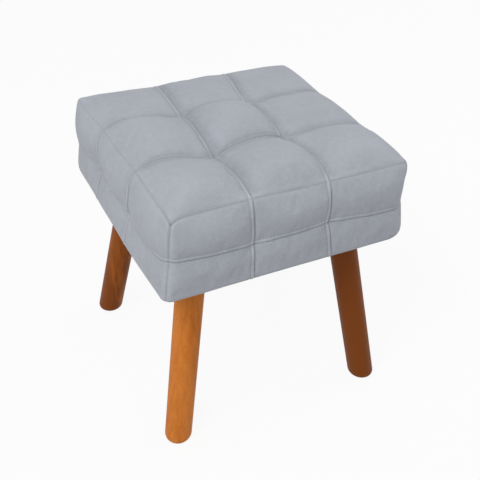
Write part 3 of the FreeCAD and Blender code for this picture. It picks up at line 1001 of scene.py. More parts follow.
@dataclass(frozen=True)
class Puffing:
    """The cloth simulation that fills the cover's cells between their seams."""

    SETTINGS = {
        "quality": 6,
        "mass": 0.3,
        "tension_stiffness": 25,
        "compression_stiffness": 25,
        "shear_stiffness": 8,
        "bending_stiffness": 3,
        "air_damping": 2,
        "use_pressure": True,
        "uniform_pressure_force": 4.0,
        "shrink_min": -0.006,
        "shrink_max": -0.006,
        "vertex_group_mass": "held",
        "pin_stiffness": 1,
    }

    spacing: float = 0.0055
    frames: int = 20
    cap: float = 0.0028

    def run(self, shape: CoverShape) -> tuple[Array, Array, Array, Array]:
        """Simulates the whole cover as one cloth, held along its seams and under its hem.

        Each move is cut down softly, to the cap times the hyperbolic tangent of its length over it.

        Args:
            shape: The cover before the stuffing presses it out.

        Returns:
            The stations, the levels, the top's moves and the four sides' moves.
        """
        _, waist_q, roll_q, _, _ = shape.levels
        steps = (self.spacing, self.spacing, self.spacing)
        station, level = stations(list(shape.lines), *steps), stations(shape.levels, *steps)
        n, m = len(station), len(level)
        ring = np.concatenate([shape.side(side, station, level)[:, :-1] for side in Side], axis=1)
        points = np.concatenate([shape.top(station).reshape(-1, 3), ring[1:].reshape(-1, 3)])
        top_ids = numbered(n, n)
        loop = rim_of(top_ids)
        ring_ids = np.concatenate([loop[None], n * n + numbered(m - 1, len(loop))])
        walls = ring_ids.ravel()[grid_faces(m, len(loop), wrap=True)[:, ::-1]]
        on_seam = np.isin(station, shape.lines)
        held = np.zeros(len(points))
        held[top_ids[on_seam].ravel()] = held[top_ids[:, on_seam].ravel()] = 1
        held[ring_ids[np.isin(level, [0.0, waist_q]) | (level >= roll_q)].ravel()] = 1
        held[ring_ids[:, np.tile(on_seam[:-1], 4)].ravel()] = 1
        moved = self.simulated(points, np.concatenate([grid_faces(n, n), walls]), held) - points
        length = np.linalg.norm(moved, axis=1, keepdims=True)
        moved = moved * self.cap * np.tanh(length / self.cap) / np.maximum(length, 1e-9)
        ring_moves = moved[np.concatenate([ring_ids, ring_ids[:, :1]], axis=1)]
        side_moves = np.stack([ring_moves[:, k * (n - 1) : (k + 1) * (n - 1) + 1] for k in range(4)])
        log.info("puffed %d points, furthest %.1f mm", len(points), 1000 * length.max())
        return station, level, moved[top_ids], side_moves

    def simulated(self, points: Array, faces: Array, held: Array) -> Array:
        """Runs the cloth, without gravity, and reads where its points end up.

        Args:
            points: The cloth's points.
            faces: Its faces.
            held: 1 where a point is held, else 0.

        Returns:
            The points at the last frame.
        """
        piece = mesh_of("cover_cloth", points, [faces])
        piece.vertex_groups.new(name="held").add(np.flatnonzero(held).tolist(), 1.0, "REPLACE")
        cloth = piece.modifiers.new("cloth", "CLOTH")
        for name, setting in self.SETTINGS.items():
            setattr(cloth.settings, name, setting)
        cloth.settings.effector_weights.gravity = 0
        cloth.collision_settings.use_collision = False
        cloth.collision_settings.use_self_collision = False
        cloth.point_cache.frame_start = 1
        cloth.point_cache.frame_end = self.frames
        for number in range(1, self.frames + 1):
            bpy.context.scene.frame_set(number)
        evaluated = piece.evaluated_get(bpy.context.evaluated_depsgraph_get())
        result = np.zeros(len(points) * 3, np.float32)
        evaluated.data.vertices.foreach_get("co", result)
        bpy.data.objects.remove(piece, do_unlink=True)
        bpy.context.scene.frame_set(1)
        return result.reshape(-1, 3).astype(float)


@dataclass(frozen=True)
class Pulls:
    """The folds that a tie fans out around its crossing, and the dimple in their middle."""

    folds: int
    phase: float
    reach: float
    width: float
    height: float
    dimple_width: float
    dimple_depth: float

    def relief(self, x: Array, y: Array) -> Array:
        """The folds are a cosine of the turn about the crossing, inside a bell around their reach.

        Args:
            x: Distance from the crossing one way.
            y: Distance from it the other way.

        Returns:
            The relief.
        """
        away = np.hypot(x, y)
        fan = np.cos(self.folds * np.arctan2(y, x) + self.phase) * bell(away - self.reach, self.width)
        return self.height * fan - self.dimple_depth * bell(away, self.dimple_width)


@dataclass(frozen=True)
class SeamRelief:
    """The relief that sewing leaves in the cloth, across a seam and along it."""

    ditch_width: float = 0.0009
    far_share: float = 0.6
    far_width: float = 0.00135
    near_slope: float = 0.0014
    far_slope: float = 0.0022
    valley: float = 0.0014
    valley_width: float = 0.008
    stitch_place: float = 0.0018
    edge_ditch: float = 0.00028
    edge_width: float = 0.0011
    swell: float = 0.00015
    swell_place: float = 0.003
    swell_width: float = 0.002
    pucker: float = 0.00014
    pucker_step: float = 0.0075
    pucker_reach: float = 0.004
    wear_waves: tuple = (0.083, 0.21)
    unworn_from: float = -0.075
    unworn_over: float = 0.03

    def strip(self, across: Array, width: float, depth: float, rise: float) -> Array:
        """Relief over the strip beside a seam, which the allowance under it raises.

        A ditch follows the seam's line, a shallower and softer one the strip's far side, and the
        strip between them rises with a smoothstep from each.

        Args:
            across: Distance from the seam, rising over the strip.
            width: The strip's width.
            depth: The ditch's depth.
            rise: How far the strip stands up.

        Returns:
            The relief.
        """
        ditch = -depth * bell(across, self.ditch_width)
        far = -self.far_share * depth * bell(across - width, self.far_width)
        middle = smoothstep(across / self.near_slope) * smoothstep((width - across) / self.far_slope)
        return ditch + far + rise * middle

    def hollow(self, across: Array) -> Array:
        """The valley between two stuffed cells, as a bell curve."""
        return -self.valley * bell(across, self.valley_width)

    def plain(self, across: Array) -> Array:
        """Relief across a plain seam: a fine ditch between two soft swells."""
        swell = self.swell * bell(np.abs(across) - self.swell_place, self.swell_width)
        return swell - self.edge_ditch * bell(across, self.edge_width)

    def wear(self, along: Array) -> Array:
        """How clearly a plain seam shows along its length: slow uneven waves from 0.25 to 1."""
        short, long = (TAU * along / wave for wave in self.wear_waves)
        return 0.625 + 0.375 * np.sin(short + 1.1 + 2 * np.sin(long))

    def left_wear(self, along: Array) -> Array:
        """The same on the left side, where a smoothstep fades the seam behind its front cell."""
        return self.wear(along) * (1 - 0.8 * smoothstep((along - self.unworn_from) / self.unworn_over))

    def puckers(self, across: Array, along: Array) -> Array:
        """Gathers along a seam: sine waves, uneven in strength, which fade across it with a bell.

        Args:
            across: Distance from the seam.
            along: Distance along it.

        Returns:
            The relief.
        """
        phase = TAU * along / self.pucker_step
        uneven = 0.6 + 0.4 * np.sin(phase / 4.7 + 1.3)
        waves = uneven * np.sin(phase + 1.5 * np.sin(phase / 3.1))
        return self.pucker * waves * bell(across, self.pucker_reach)


@dataclass(frozen=True)
class Stitching:
    """Rows of stitches, each a short thread that dives into the cloth at both ends."""

    pitch: float = 0.0036
    length: float = 0.0026
    radius: float = 0.0004
    dive: float = 0.0003
    lift: float = 0.0001
    ends: float = 0.5
    tangent: float = 0.001
    sides: int = 5

    def row(self, points: Array, normals: Array) -> tuple[Array, Array, Array]:
        """Places one row of stitches at even steps along a line.

        Args:
            points: The line's points on the cloth.
            normals: The cloth's normals there.

        Returns:
            The stitches' middles, directions and normals.
        """
        distance = travelled(points)
        count = int(distance[-1] / self.pitch)
        at = (np.arange(count) + 0.5) * distance[-1] / count
        behind, ahead = (on_chain(at + shift, distance, points) for shift in (-self.tangent, self.tangent))
        return on_chain(at, distance, points), unit(ahead - behind), unit(on_chain(at, distance, normals))

    def build(self, name: str, rows: list[tuple], thread: Material) -> None:
        """Makes all rows as one piece.

        Each stitch is a tube of four rings, full over its middle and narrow at its buried ends.

        Args:
            name: The piece's name.
            rows: Each row's points and normals.
            thread: Its material.
        """
        placed = [self.row(points, normals) for points, normals in rows]
        middles, ahead, up = (np.concatenate(part) for part in zip(*placed))
        beside = np.cross(ahead, up)
        turn = np.arange(self.sides)[:, None] * TAU / self.sides
        circle = np.cos(turn) * up[:, None] + np.sin(turn) * beside[:, None]
        rings = []
        end, middle = (-self.dive, self.ends), (self.lift, 1)
        for share, (rise, width) in zip((-1, -0.5, 0.5, 1), (end, middle, middle, end)):
            centre = middles + ahead * share * self.length / 2 + up * rise
            rings.append(centre[:, None] + self.radius * width * circle)
        points = np.stack(rings, axis=1)
        starts = np.arange(len(points))[:, None, None] * points[0, ..., 0].size
        faces = [(starts + group).reshape(-1, group.shape[1]) for group in tube(points[0])[1]]
        dress(mesh_of(name, points, faces), thread)
        log.info("%s: %d stitches", name, len(middles))


class Cover:
    """The sewn cover: its five panels and its topstitching.

    The steps of its stations are the finest, the coarsest and the reach between them. A strip's
    sizes are its width, its ditch's depth and its rise. The seam shading attribute is painted light
    and shade from the seams' relief: lighter on raised strips and darker in ditches and valleys,
    over a depth that counts as full, cut off at a darkest value in the ditches.
    """

    THICKNESS = 0.0013
    ACROSS_STEPS = (0.0006, 0.0033, 0.012)
    DOWN_STEPS = (0.0007, 0.003, 0.010)
    LAP_STEPS = (0.0024, 0.0045, 0.010)
    TUCK_BAND = {Side.FRONT: -1, Side.RIGHT: 1, Side.BACK: 1, Side.LEFT: -1}
    LONG_STRIP = (0.0066, 0.0008, 0.0006)
    CROSS_STRIP = (0.0044, 0.0004, 0.0000)
    UPRIGHT_STRIP = (0.0062, 0.0008, 0.0005)
    WAIST_STRIP = (0.0058, 0.0005, 0.0004)
    TOP_PULLS = Pulls(7, 0.6, 0.014, 0.010, 0.0006, 0.009, 0.0008)
    SIDE_PULLS = Pulls(4, 0.4, 0.016, 0.012, 0.0008, 0.008, 0.0006)
    LEFT_PULLS = Pulls(4, 0.4, 0.016, 0.012, 0.0014, 0.008, 0.0006)
    # Painted light and shade from the seams' relief: its full depth, the valleys' share of painted shade, and
    # the darkest painted shade on the top, the sides and the left side.
    SEAM_SHADING_DEPTH = 0.0008
    VALLEY_SHADING = 0.35
    TOP_DARKEST = -0.4
    SIDE_DARKEST = -0.5
    LEFT_DARKEST = -0.3
    SHARED_NORMALS = 0.006
    EDGE_FADE = 0.016
    HEM_FADE = 0.02
    HEM_CALM = 0.01
    SWELL = 0.00022
    SWELL_LENGTH = 0.11
    SWELL_WAVES = 9
    SWELL_SEED = 7

    def __init__(self, seat: SeatFrame, puff: bool) -> None:
        """Works out the panels' points.

        Args:
            seat: The frame's sizes.
            puff: Whether the cloth simulation runs.
        """
        self.shape = CoverShape(seat)
        self.relief = SeamRelief()
        levels = self.shape.levels
        self.station = stations(list(self.shape.lines), *self.ACROSS_STEPS)
        walls, lap = stations(levels[:3], *self.DOWN_STEPS), stations(levels[2:], *self.LAP_STEPS)
        self.level = np.concatenate([walls, lap[1:]])
        self.top = self.shape.top(self.station)
        self.sides = {side: self.shape.side(side, self.station, self.level) for side in Side}
        if puff:
            self.add_puffs()
        self.smooth_top = self.top.copy()
        self.smooth_sides = {side: points.copy() for side, points in self.sides.items()}
        self.add_relief()

    def add_puffs(self) -> None:
        """Adds the simulated moves, carried over to the finer stations."""
        station, level, top_moves, side_moves = Puffing().run(self.shape)
        across, down = carry_over(station, self.station), carry_over(level, self.level)
        self.top = self.top + blended(across, top_moves, across)
        for side in Side:
            self.sides[side] = self.sides[side] + blended(down, side_moves[side.value], across)

    def undulation(self, points: Array) -> Array:
        """Slow random swells of a hand-stuffed cover: a sum of seeded sine waves through space.

        Args:
            points: The points on the cover.

        Returns:
            How far each is raised.
        """
        rng = np.random.default_rng(self.SWELL_SEED)
        total = np.zeros(points.shape[:-1])
        for _ in range(self.SWELL_WAVES):
            wave = rng.normal(size=3) * TAU / self.SWELL_LENGTH
            total += np.sin(points @ wave + rng.uniform(0, TAU))
        return self.SWELL * total

    def strips(self, toward: int, sizes: tuple) -> Array:
        """Relief of both cross seams' strips along the stations, on the side that toward gives."""
        seam = self.shape.seat.seam
        return sum(self.relief.strip(toward * (self.station - line), *sizes) for line in (-seam, seam))

    def top_relief(self) -> tuple[Array, Array]:
        """Relief over the top panel, and the painted light and shade that follows it: lighter on ridges,
        darker in seams.

        Returns:
            Two arrays of stations by stations, with rows along Y.
        """
        relief, seam, end, s = self.relief, self.shape.seat.seam, self.shape.end, self.station
        strips = self.strips(-1, self.LONG_STRIP)[None, :] + self.strips(1, self.CROSS_STRIP)[:, None]
        valleys = sum(relief.hollow(s - line) for line in (-seam, seam))
        fade = 1 - smoothstep((np.abs(s) - end + self.EDGE_FADE) / self.EDGE_FADE)
        valleys = valleys[None, :] * fade[:, None] + valleys[:, None] * fade[None, :]
        to_edge = end - np.abs(s)
        wear = relief.wear(s)
        on_x = np.where(s[None, :] < 0, relief.left_wear(s)[:, None], wear[:, None])
        worn = np.where(to_edge[None, :] < to_edge[:, None], on_x, wear[None, :])
        plain = relief.plain(np.minimum(to_edge[:, None], to_edge[None, :])) * worn
        # Painted shade in the valleys and ditches, and a painted highlight on the raised strips.
        rubbed = strips + self.VALLEY_SHADING * valleys + plain
        total = strips + valleys + plain
        for line in self.shape.lines:
            total = total + relief.puckers(s[None, :] - line, s[:, None])
            total = total + relief.puckers(s[:, None] - line, s[None, :])
        total = total + self.TOP_PULLS.relief(*np.meshgrid(np.abs(s) - seam, np.abs(s) - seam))
        return total, np.clip(rubbed / self.SEAM_SHADING_DEPTH, self.TOP_DARKEST, 1)

    def side_relief(self, side: Side) -> tuple[Array, Array]:
        """Relief over a side, and the painted light and shade that follows it: lighter on ridges, darker in
        seams.

        Args:
            side: Which side.

        Returns:
            Two arrays of levels by stations.
        """
        relief, s, q = self.relief, self.station, self.level
        waist, roll = self.shape.levels[1:3]
        top_strip = self.LONG_STRIP if side in (Side.FRONT, Side.BACK) else self.CROSS_STRIP
        upper, lower = (self.strips(self.TUCK_BAND[side], sizes) for sizes in (top_strip, self.UPRIGHT_STRIP))
        fade = 1 - smoothstep((q - roll) / self.HEM_FADE)[:, None]
        change = smoothstep(q / self.HEM_FADE)[:, None]
        total = (upper[None, :] * (1 - change) + lower[None, :] * change) * fade
        total = total + relief.strip(waist - q, *self.WAIST_STRIP)[:, None]
        total = total + relief.plain(self.shape.end - np.abs(s))[None, :] * fade
        world = s * (1 if side in (Side.FRONT, Side.RIGHT) else -1)
        wear = relief.left_wear if side is Side.LEFT else relief.wear
        total = total + relief.plain(q)[:, None] * wear(world)[None, :]
        # Painted light and shade follows the side's seam relief, taken before the puckers and pulls.
        rubbed = total.copy()
        for line in self.shape.lines:
            total = total + relief.puckers(s[None, :] - line, q[:, None]) * fade
        for line in (0.0, waist):
            total = total + relief.puckers(q[:, None] - line, s[None, :])
        pulls = self.LEFT_PULLS if side is Side.LEFT else self.SIDE_PULLS
        total = total + pulls.relief((np.abs(s) - self.shape.seat.seam)[None, :], (q - waist)[:, None])
        darkest = self.LEFT_DARKEST if side is Side.LEFT else self.SIDE_DARKEST
        return total, np.clip(rubbed / self.SEAM_SHADING_DEPTH, darkest, 1)

    def add_relief(self) -> None:
        """Moves the points along their normals by the relief, with shared normals at the seams."""
        normals = {side: -grid_normals(points) for side, points in self.sides.items()}
        top_normals = grid_normals(self.top)
        ahead, astern = slice(None), slice(None, None, -1)
        rims = {
            Side.FRONT: (0, ahead),
            Side.RIGHT: (ahead, -1),
            Side.BACK: (-1, astern),
            Side.LEFT: (astern, 0),
        }
        near = bell(self.level, self.SHARED_NORMALS)[:, None, None]
        for side, rim in rims.items():
            shared = unit(normals[side][0] + top_normals[rim])
            normals[side] = unit(normals[side] * (1 - near) + shared[None] * near)
        for side, rim in rims.items():
            top_normals[rim] = normals[side][0]
        for side in Side:
            shared = unit(normals[side][:, -1] + normals[side.after][:, 0])
            normals[side][:, -1] = normals[side.after][:, 0] = shared
        relief, self.top_seam_shading = self.top_relief()
        self.top = self.top + (relief + self.undulation(self.top))[..., None] * top_normals
        calm = 1 - smoothstep((self.level - self.shape.levels[2]) / self.HEM_CALM)[:, None]
        self.side_seam_shading = {}
        for side, points in self.sides.items():
            relief, self.side_seam_shading[side] = self.side_relief(side)
            relief = relief + self.undulation(points) * calm
            self.sides[side] = points + relief[..., None] * normals[side]
        self.top_normals, self.side_normals = top_normals, normals

    def top_rows(self) -> list[tuple]:
        """The top panel's rows of stitches, beside its four seams and on its edge.

        Returns:
            Each row's points and normals.
        """
        seam, end, place = self.shape.seat.seam, self.shape.end, self.relief.stitch_place
        grids = (self.top, self.top_normals)
        inner, whole = slice(2, -2), slice(None)
        rows = []
        for axis, shift in ((1, -place), (0, place)):
            for at, part in ((shift - seam, inner), (shift + seam, inner), (-end, whole), (end, whole)):
                rows.append(tuple(line_between(grid, self.station, at, axis)[part] for grid in grids))
        return rows

    def side_rows(self, side: Side) -> list[tuple]:
        """A side's rows of stitches: beside its two uprights, over its waist seam and down one corner.

        Args:
            side: Which side.

        Returns:
            Each row's points and normals.
        """
        seam, place = self.shape.seat.seam, self.relief.stitch_place
        waist, roll = self.shape.levels[1:3]
        shift = self.TUCK_BAND[side] * place
        down = self.level <= roll
        grids = (self.sides[side], self.side_normals[side])
        rows = []
        for at in (shift - seam, shift + seam, -self.shape.end):
            rows.append(tuple(line_between(grid, self.station, at, 1)[down][2:] for grid in grids))
        rows.append(tuple(line_between(grid, self.level, waist - place, 0)[2:-2] for grid in grids))
        return rows

    def panel(self, node: str, points: Array, faces: Array, rubbed: Array, suede: Material) -> None:
        """One panel of cloth with its thickness, in place of its solid, with a sharp rim.

        Args:
            node: The side's word, or top.
            points: The panel's points, as a grid.
            faces: Its faces.
            rubbed: Painted light and shade at each point, lighter on seam strips and darker in ditches.
            suede: Its material.
        """
        piece = mesh_of(f"{node}_panel", points, [faces])
        # The seams' painted light and shade, stored for the suede material.
        give_attribute(piece, "rubbed", rubbed.ravel())
        edges = np.zeros(len(piece.data.edges) * 2, np.int32)
        piece.data.edges.foreach_get("vertices", edges)
        on_rim = np.isin(edges.reshape(-1, 2), rim_of(numbered(*points.shape[:2]))).all(axis=1)
        piece.data.attributes.new("sharp_edge", "BOOLEAN", "EDGE").data.foreach_set("value", on_rim)
        thicken(piece, self.THICKNESS)
        dress(piece, suede, f"cover_{node}")

    def build(self, suede: Material, thread: Material) -> None:
        """Makes the five panels and their stitches.

        Args:
            suede: The panels' material.
            thread: The stitches' material.
        """
        self.panel("top", self.top, grid_faces(*self.top.shape[:2]), self.top_seam_shading, suede)
        for side, points in self.sides.items():
            faces = grid_faces(*points.shape[:2])[:, ::-1]
            self.panel(side.node, points, faces, self.side_seam_shading[side], suede)
            Stitching().build(f"{side.node}_stitches", self.side_rows(side), thread)
        Stitching().build("top_stitches", self.top_rows(), thread)
        log.info("cover panels: %d columns, %d levels", len(self.station), len(self.level))


# Ties and foam pads


@dataclass(frozen=True)
class Ties:
    """The waxed twine that holds the seam crossings down, knotted behind its washers."""

    radius: float = 0.0010
    lay: float = 0.006
    knot: float = 0.003
    knot_rings: int = 9
    washer: float = 0.002
    step: float = 0.0014
    sides: int = 10
    cloth: float = 0.0020
    pole: float = 0.15

    def strand(self, path: Array, across: Array) -> Solid:
        """One length of two-ply twine with a knot at its start.

        Around the path the radius is 0.78 plus 0.22 times the size of the cosine of the angle less
        the lay's turn. The knot is a ball whose radius swells by a slanted sine wave.

        Args:
            path: The corners of its route, with the knot's middle first.
            across: Two directions square to it.

        Returns:
            Its points, and its faces by their number of corners.
        """
        distance = travelled(path)
        at = np.linspace(0, distance[-1], max(3, int(distance[-1] / self.step)))
        turn = np.arange(self.sides) * TAU / self.sides
        ply = np.abs(np.cos(turn[None, :] - TAU * at[:, None] / (2 * self.lay)))
        circle = np.cos(turn)[:, None] * across[0] + np.sin(turn)[:, None] * across[1]
        radius = self.radius * (0.78 + 0.22 * ply)
        twine = on_chain(at, distance, path)[:, None] + radius[..., None] * circle[None]
        down = np.linspace(self.pole, math.pi - self.pole, self.knot_rings)[:, None]
        lump = self.knot * (1 + 0.08 * np.sin(3 * turn[None, :] + 4 * down))
        flat = np.sin(down)[..., None] * circle[None]
        ball = path[0] + lump[..., None] * (flat - np.cos(down)[..., None] * np.cross(*across))
        return joined([tube(twine), tube(ball)])

    def piece(self, name: str, node: str, strands: list[Solid], twine: Material) -> None:
        """Joins strands into one piece in place of its node."""
        dress(mesh_of(name, *joined(strands)), twine, node)
        log.info("%s: %d ties", name, len(strands))

    def build(self, cover: Cover, twine: Material) -> None:
        """Runs a tie to each crossing on the top and to each on the waist seam.

        Args:
            cover: The cover that they hold.
            twine: Their material.
        """
        seat = cover.shape.seat
        ends = cover.top - self.cloth * cover.top_normals
        marks = {place: np.searchsorted(cover.station, place - 1e-6) for place in (-seat.seam, seat.seam)}
        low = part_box("top_tie_washers")[0].z - self.knot
        strands = []
        for y, row in marks.items():
            for x, column in marks.items():
                path = np.array([[x, y, low], [x, y, seat.deck_z], ends[row, column]])
                strands.append(self.strand(path, np.eye(3)[:2]))
        self.piece("top_twine", "top_ties", strands, twine)
        waist = np.searchsorted(cover.level, cover.shape.levels[1] - 1e-6)
        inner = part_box("side_tie_washers")[1].x - self.washer - self.knot
        strands = []
        for side, points in cover.sides.items():
            ends = (points - self.cloth * cover.side_normals[side])[waist]
            out, along = (np.array([*side.turned(*way), 0.0]) for way in ((0, -1), (1, 0)))
            for place, column in marks.items():
                hole = along * place + UP * seat.waist_z
                path = np.array([hole + out * inner, hole + out * seat.half, ends[column]])
                strands.append(self.strand(path, np.stack([along, UP])))
        self.piece("side_twine", "side_ties", strands, twine)


class FoamPads:
    """The seat pad on the deck and the four side pads, just inside the cover."""

    GAP = 0.0042
    TIED_GAP = 0.004
    TIED_WIDTH = 0.022
    FRAME_GAP = 0.0002
    FRAME_CORNER = 0.001
    EVERY = 3

    def __init__(self, cover: Cover) -> None:
        """Keeps the cover and every third of its stations.

        Args:
            cover: The cover that the pads fill.
        """
        self.cover = cover
        self.shape = cover.shape
        self.station = cover.station[:: self.EVERY]

    def gap(self, along: Array) -> Array:
        """How far a pad lies under the cover: deeper by a bell at each tied crossing."""
        away = np.hypot((np.abs(self.station) - self.shape.seat.seam)[None, :], along[:, None])
        return self.GAP + self.TIED_GAP * bell(away, self.TIED_WIDTH)

    def declare(self, piece: Piece, node: str, foam: Material) -> None:
        """Gives a pad its material and its body, and hides the node that it stands for."""
        dress(piece, foam, node)

    def seat_pad(self, foam: Material) -> None:
        """A block from the deck up to the cover, with the cover's crown and channels.

        Args:
            foam: Its material.
        """
        half = self.shape.seat.half
        top = self.cover.smooth_top[:: self.EVERY, :: self.EVERY].copy()
        top[..., :2] = np.clip(top[..., :2], -half, half)
        top[..., 2] -= self.gap(np.abs(self.station) - self.shape.seat.seam)
        floor = top.copy()
        floor[..., 2] = self.shape.seat.deck_z
        n = len(top)
        loop = rim_of(numbered(n, n))
        after = np.roll(loop, -1)
        walls = np.stack([loop + n * n, after + n * n, after, loop], axis=-1)
        lid = grid_faces(n, n)
        faces = np.concatenate([lid, lid[:, ::-1] + n * n, walls])
        self.declare(mesh_of("seat_pad", np.concatenate([top, floor]), [faces]), "seat_foam", foam)

    def side_pad(self, side: Side, foam: Material) -> None:
        """A pad from the frame's face out to the cover, mitred at both corners.

        Args:
            side: Which side.
            foam: Its material.
        """
        used = self.cover.level <= self.shape.levels[3]
        outer = self.cover.smooth_sides[side][used][:, :: self.EVERY]
        gap = self.gap(self.cover.level[used] - self.shape.levels[1])
        outer = (outer + grid_normals(outer) * gap[..., None])[::2]
        half = np.full_like(self.station, self.shape.seat.half + self.FRAME_GAP)
        plan = self.shape.outline(self.station, half, np.full_like(half, self.FRAME_CORNER))
        back = np.stack(side.turned(*plan.T), axis=-1)
        inner = np.stack([np.column_stack([back, outer[row, :, 2]]) for row in (-1, 0)])
        loop = np.concatenate([outer, inner])
        rows, count = loop.shape[:2]
        ring = numbered(rows, count)
        walls = np.concatenate([ring, ring[:1]]).ravel()[grid_faces(rows + 1, count)[:, ::-1]]
        faces = [walls, ring[::-1, 0][None], ring[:, -1][None]]
        self.declare(mesh_of(f"{side.node}_pad", loop, faces), f"side_foam_{side.node}", foam)

    def build(self, foam: Material) -> None:
        """Makes all five pads.

        Args:
            foam: Their material.
        """
        self.seat_pad(foam)
        for side in Side:
            self.side_pad(side, foam)
        log.info("foam pads: 5")


# Legs


@dataclass(frozen=True)
class Leg:
    """One turned leg, cut level at both ends, with a rounded foot."""

    name: str
    tone: float
    top_radius: float = 0.02175
    foot_radius: float = 0.02100
    foot_round: float = 0.0100
    top_round: float = 0.0012
    rings: int = 90
    foot_rings: int = 14
    top_rings: int = 6
    segments: int = 72
    grain_shift: float = 3.0

    def build(self, wood: Material) -> None:
        """Turns the leg about the axis from its foot through its bolt.

        At each height the leg's cut is an ellipse about the axis, longer along the lean by one over
        the cosine of the lean. Near each end it shrinks as a quarter circle does.

        Args:
            wood: Its material.
        """
        mount = next(m for m in frame["record"]["mounts"] if m["name"] == f"foot_{self.name}")
        foot = np.array(mount["pos_m"])
        low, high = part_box(f"leg_bolt_{self.name}")
        through = (np.array(low) + np.array(high)) / 2
        top_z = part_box(f"leg_{self.name}")[1].z
        slope = (through - foot)[:2] / through[2]
        lean = np.array([*unit(slope), 0.0])
        side = np.array([-lean[1], lean[0], 0.0])
        low_zone = self.foot_round * (1 - np.cos(np.linspace(0, math.pi / 2, self.foot_rings)))
        high_zone = top_z - self.top_round * (1 - np.cos(np.linspace(math.pi / 2, 0, self.top_rings)))
        z = np.concatenate([low_zone, np.linspace(low_zone[-1], high_zone[0], self.rings)[1:-1], high_zone])
        radius = self.foot_radius + (self.top_radius - self.foot_radius) * z / top_z
        for end, to_end in ((self.foot_round, z), (self.top_round, top_z - z)):
            near = np.clip(1 - to_end / end, 0, 1)
            radius = radius - end * (1 - np.sqrt(1 - near**2))
        turn = np.arange(self.segments)[:, None] * TAU / self.segments
        stretch = math.sqrt(1 + float(slope @ slope))
        circle = np.cos(turn) * lean * stretch + np.sin(turn) * side
        axis = np.array([*slope, 1.0])
        points, faces = tube((foot + z[:, None] * axis)[:, None] + radius[:, None, None] * circle[None])
        piece = mesh_of(f"turned_leg_{self.name}", points, faces)
        grain = (points - foot) @ np.stack([lean, side, unit(axis)], axis=-1)
        give_attribute(piece, "grain", grain + self.grain_shift * foot[None])
        # This leg's stain offset, which carries painted shade or painted light for the leg.
        give_attribute(piece, "tone", np.full(len(points), self.tone))
        dress(piece, wood, f"leg_{self.name}")


@dataclass(frozen=True)
class DustSheet:
    """The thin cloth stapled under the frame, with a hole over each leg's bolt."""

    sag: float = 0.0035
    span: float = 0.152
    thickness: float = 0.0005
    hole: float = 0.008
    held_round: float = 0.024
    held_fade: float = 0.05
    step: float = 0.004
    folded_edge: float = 0.008
    fold_dip: float = 0.0001
    fold_run: float = 0.001

    def build(self, cloth: Material) -> None:
        """Makes the sheet in the space of its solid.

        It sags between the rails as one minus the square of each distance from the middle, but
        stays up over the legs, and lies a little lower where its edge is folded double.

        Args:
            cloth: Its material.
        """
        low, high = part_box("dust_cover")
        half = high.x
        line = np.linspace(-half, half, round(2 * half / self.step) + 1)
        x, y = np.meshgrid(line, line)
        hollow = np.clip(1 - (x / self.span) ** 2, 0, 1) * np.clip(1 - (y / self.span) ** 2, 0, 1)
        inserts = [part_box(f"leg_insert_{name}") for name in LEG_STAIN_AND_SHADE]
        bolts = [((ends[0].x + ends[1].x) / 2, (ends[0].y + ends[1].y) / 2) for ends in inserts]
        for bolt_x, bolt_y in bolts:
            away = np.hypot(x - bolt_x, y - bolt_y)
            hollow = hollow * smoothstep((away - self.held_round) / self.held_fade)
            push = np.where(away < self.hole, self.hole / np.maximum(away, 1e-6), 1.0)
            x, y = bolt_x + (x - bolt_x) * push, bolt_y + (y - bolt_y) * push
        z = (low.z + high.z + self.thickness) / 2 - self.sag * hollow
        to_middle = np.maximum(np.abs(x), np.abs(y))
        z = z - self.fold_dip * smoothstep((to_middle - half + self.folded_edge) / self.fold_run)
        points = np.stack([x, y, z], axis=-1).reshape(-1, 3)
        faces = grid_faces(len(line), len(line))
        middles = points[faces].mean(axis=1)[:, :2]
        away = np.min([np.hypot(*(middles - bolt).T) for bolt in bolts], axis=0)
        used, faces = np.unique(faces[away >= self.hole * 0.9], return_inverse=True)
        piece = mesh_of("dust_sheet", points[used], [faces.reshape(-1, 4)])
        thicken(piece, self.thickness)
        dress(piece, cloth, "dust_cover")
        rails = [f"rail_{side.node}" for side in Side]
        log.info("dust sheet: %.0f mm square", 2000 * half)


class InnerFrame:
    """The pieces inside and under the seat, which keep their solids and get their materials."""

    FINISHES = {
        "pine": SawnWood("sawn_pine", (0.66, 0.46, 0.24), (0.50, 0.30, 0.13)),
        "plywood": SawnWood("raw_plywood", (0.62, 0.46, 0.28), (0.48, 0.33, 0.18), (4.0, 40.0, 200.0)),
        "dust_cloth": SmallStuff("black_dust_cloth", (0.035, 0.035, 0.038), (0.018, 0.018, 0.02), 1800, 0.9),
        "zinc_steel": SmallStuff("zinc_plated_steel", (0.66, 0.66, 0.64), (0.5, 0.5, 0.49), 500, 0.35, 1.0),
        "insert_steel": SmallStuff("plated_insert", (0.6, 0.56, 0.42), (0.45, 0.42, 0.3), 500, 0.4, 1.0),
        "washer_plastic": SmallStuff(
            "moulded_black_plastic", (0.09, 0.09, 0.09), (0.06, 0.06, 0.06), 900, 0.5
        ),
        "twine": SmallStuff("waxed_twine", (0.72, 0.69, 0.6), (0.55, 0.52, 0.44), 2500, 0.6),
        "foam": SmallStuff("upholstery_foam", (0.80, 0.73, 0.48), (0.66, 0.58, 0.34), 900, 0.95, 0.0, 0.0008),
    }

    def build(self) -> dict[str, Material]:
        """Dresses every node that still shows.

        Returns:
            The materials by the record's slot.
        """
        made = {slot: finish.material() for slot, finish in self.FINISHES.items()}
        slots = {part["node"]: part["material_slot"] for part in frame["record"]["subparts"]}
        for name, node in frame["nodes"].items():
            if slots[name] in made:
                for place in node.material_slots:
                    place.material = made[slots[name]]
        log.info("dressed nodes: %d", len(slots))
        return made


# Studio


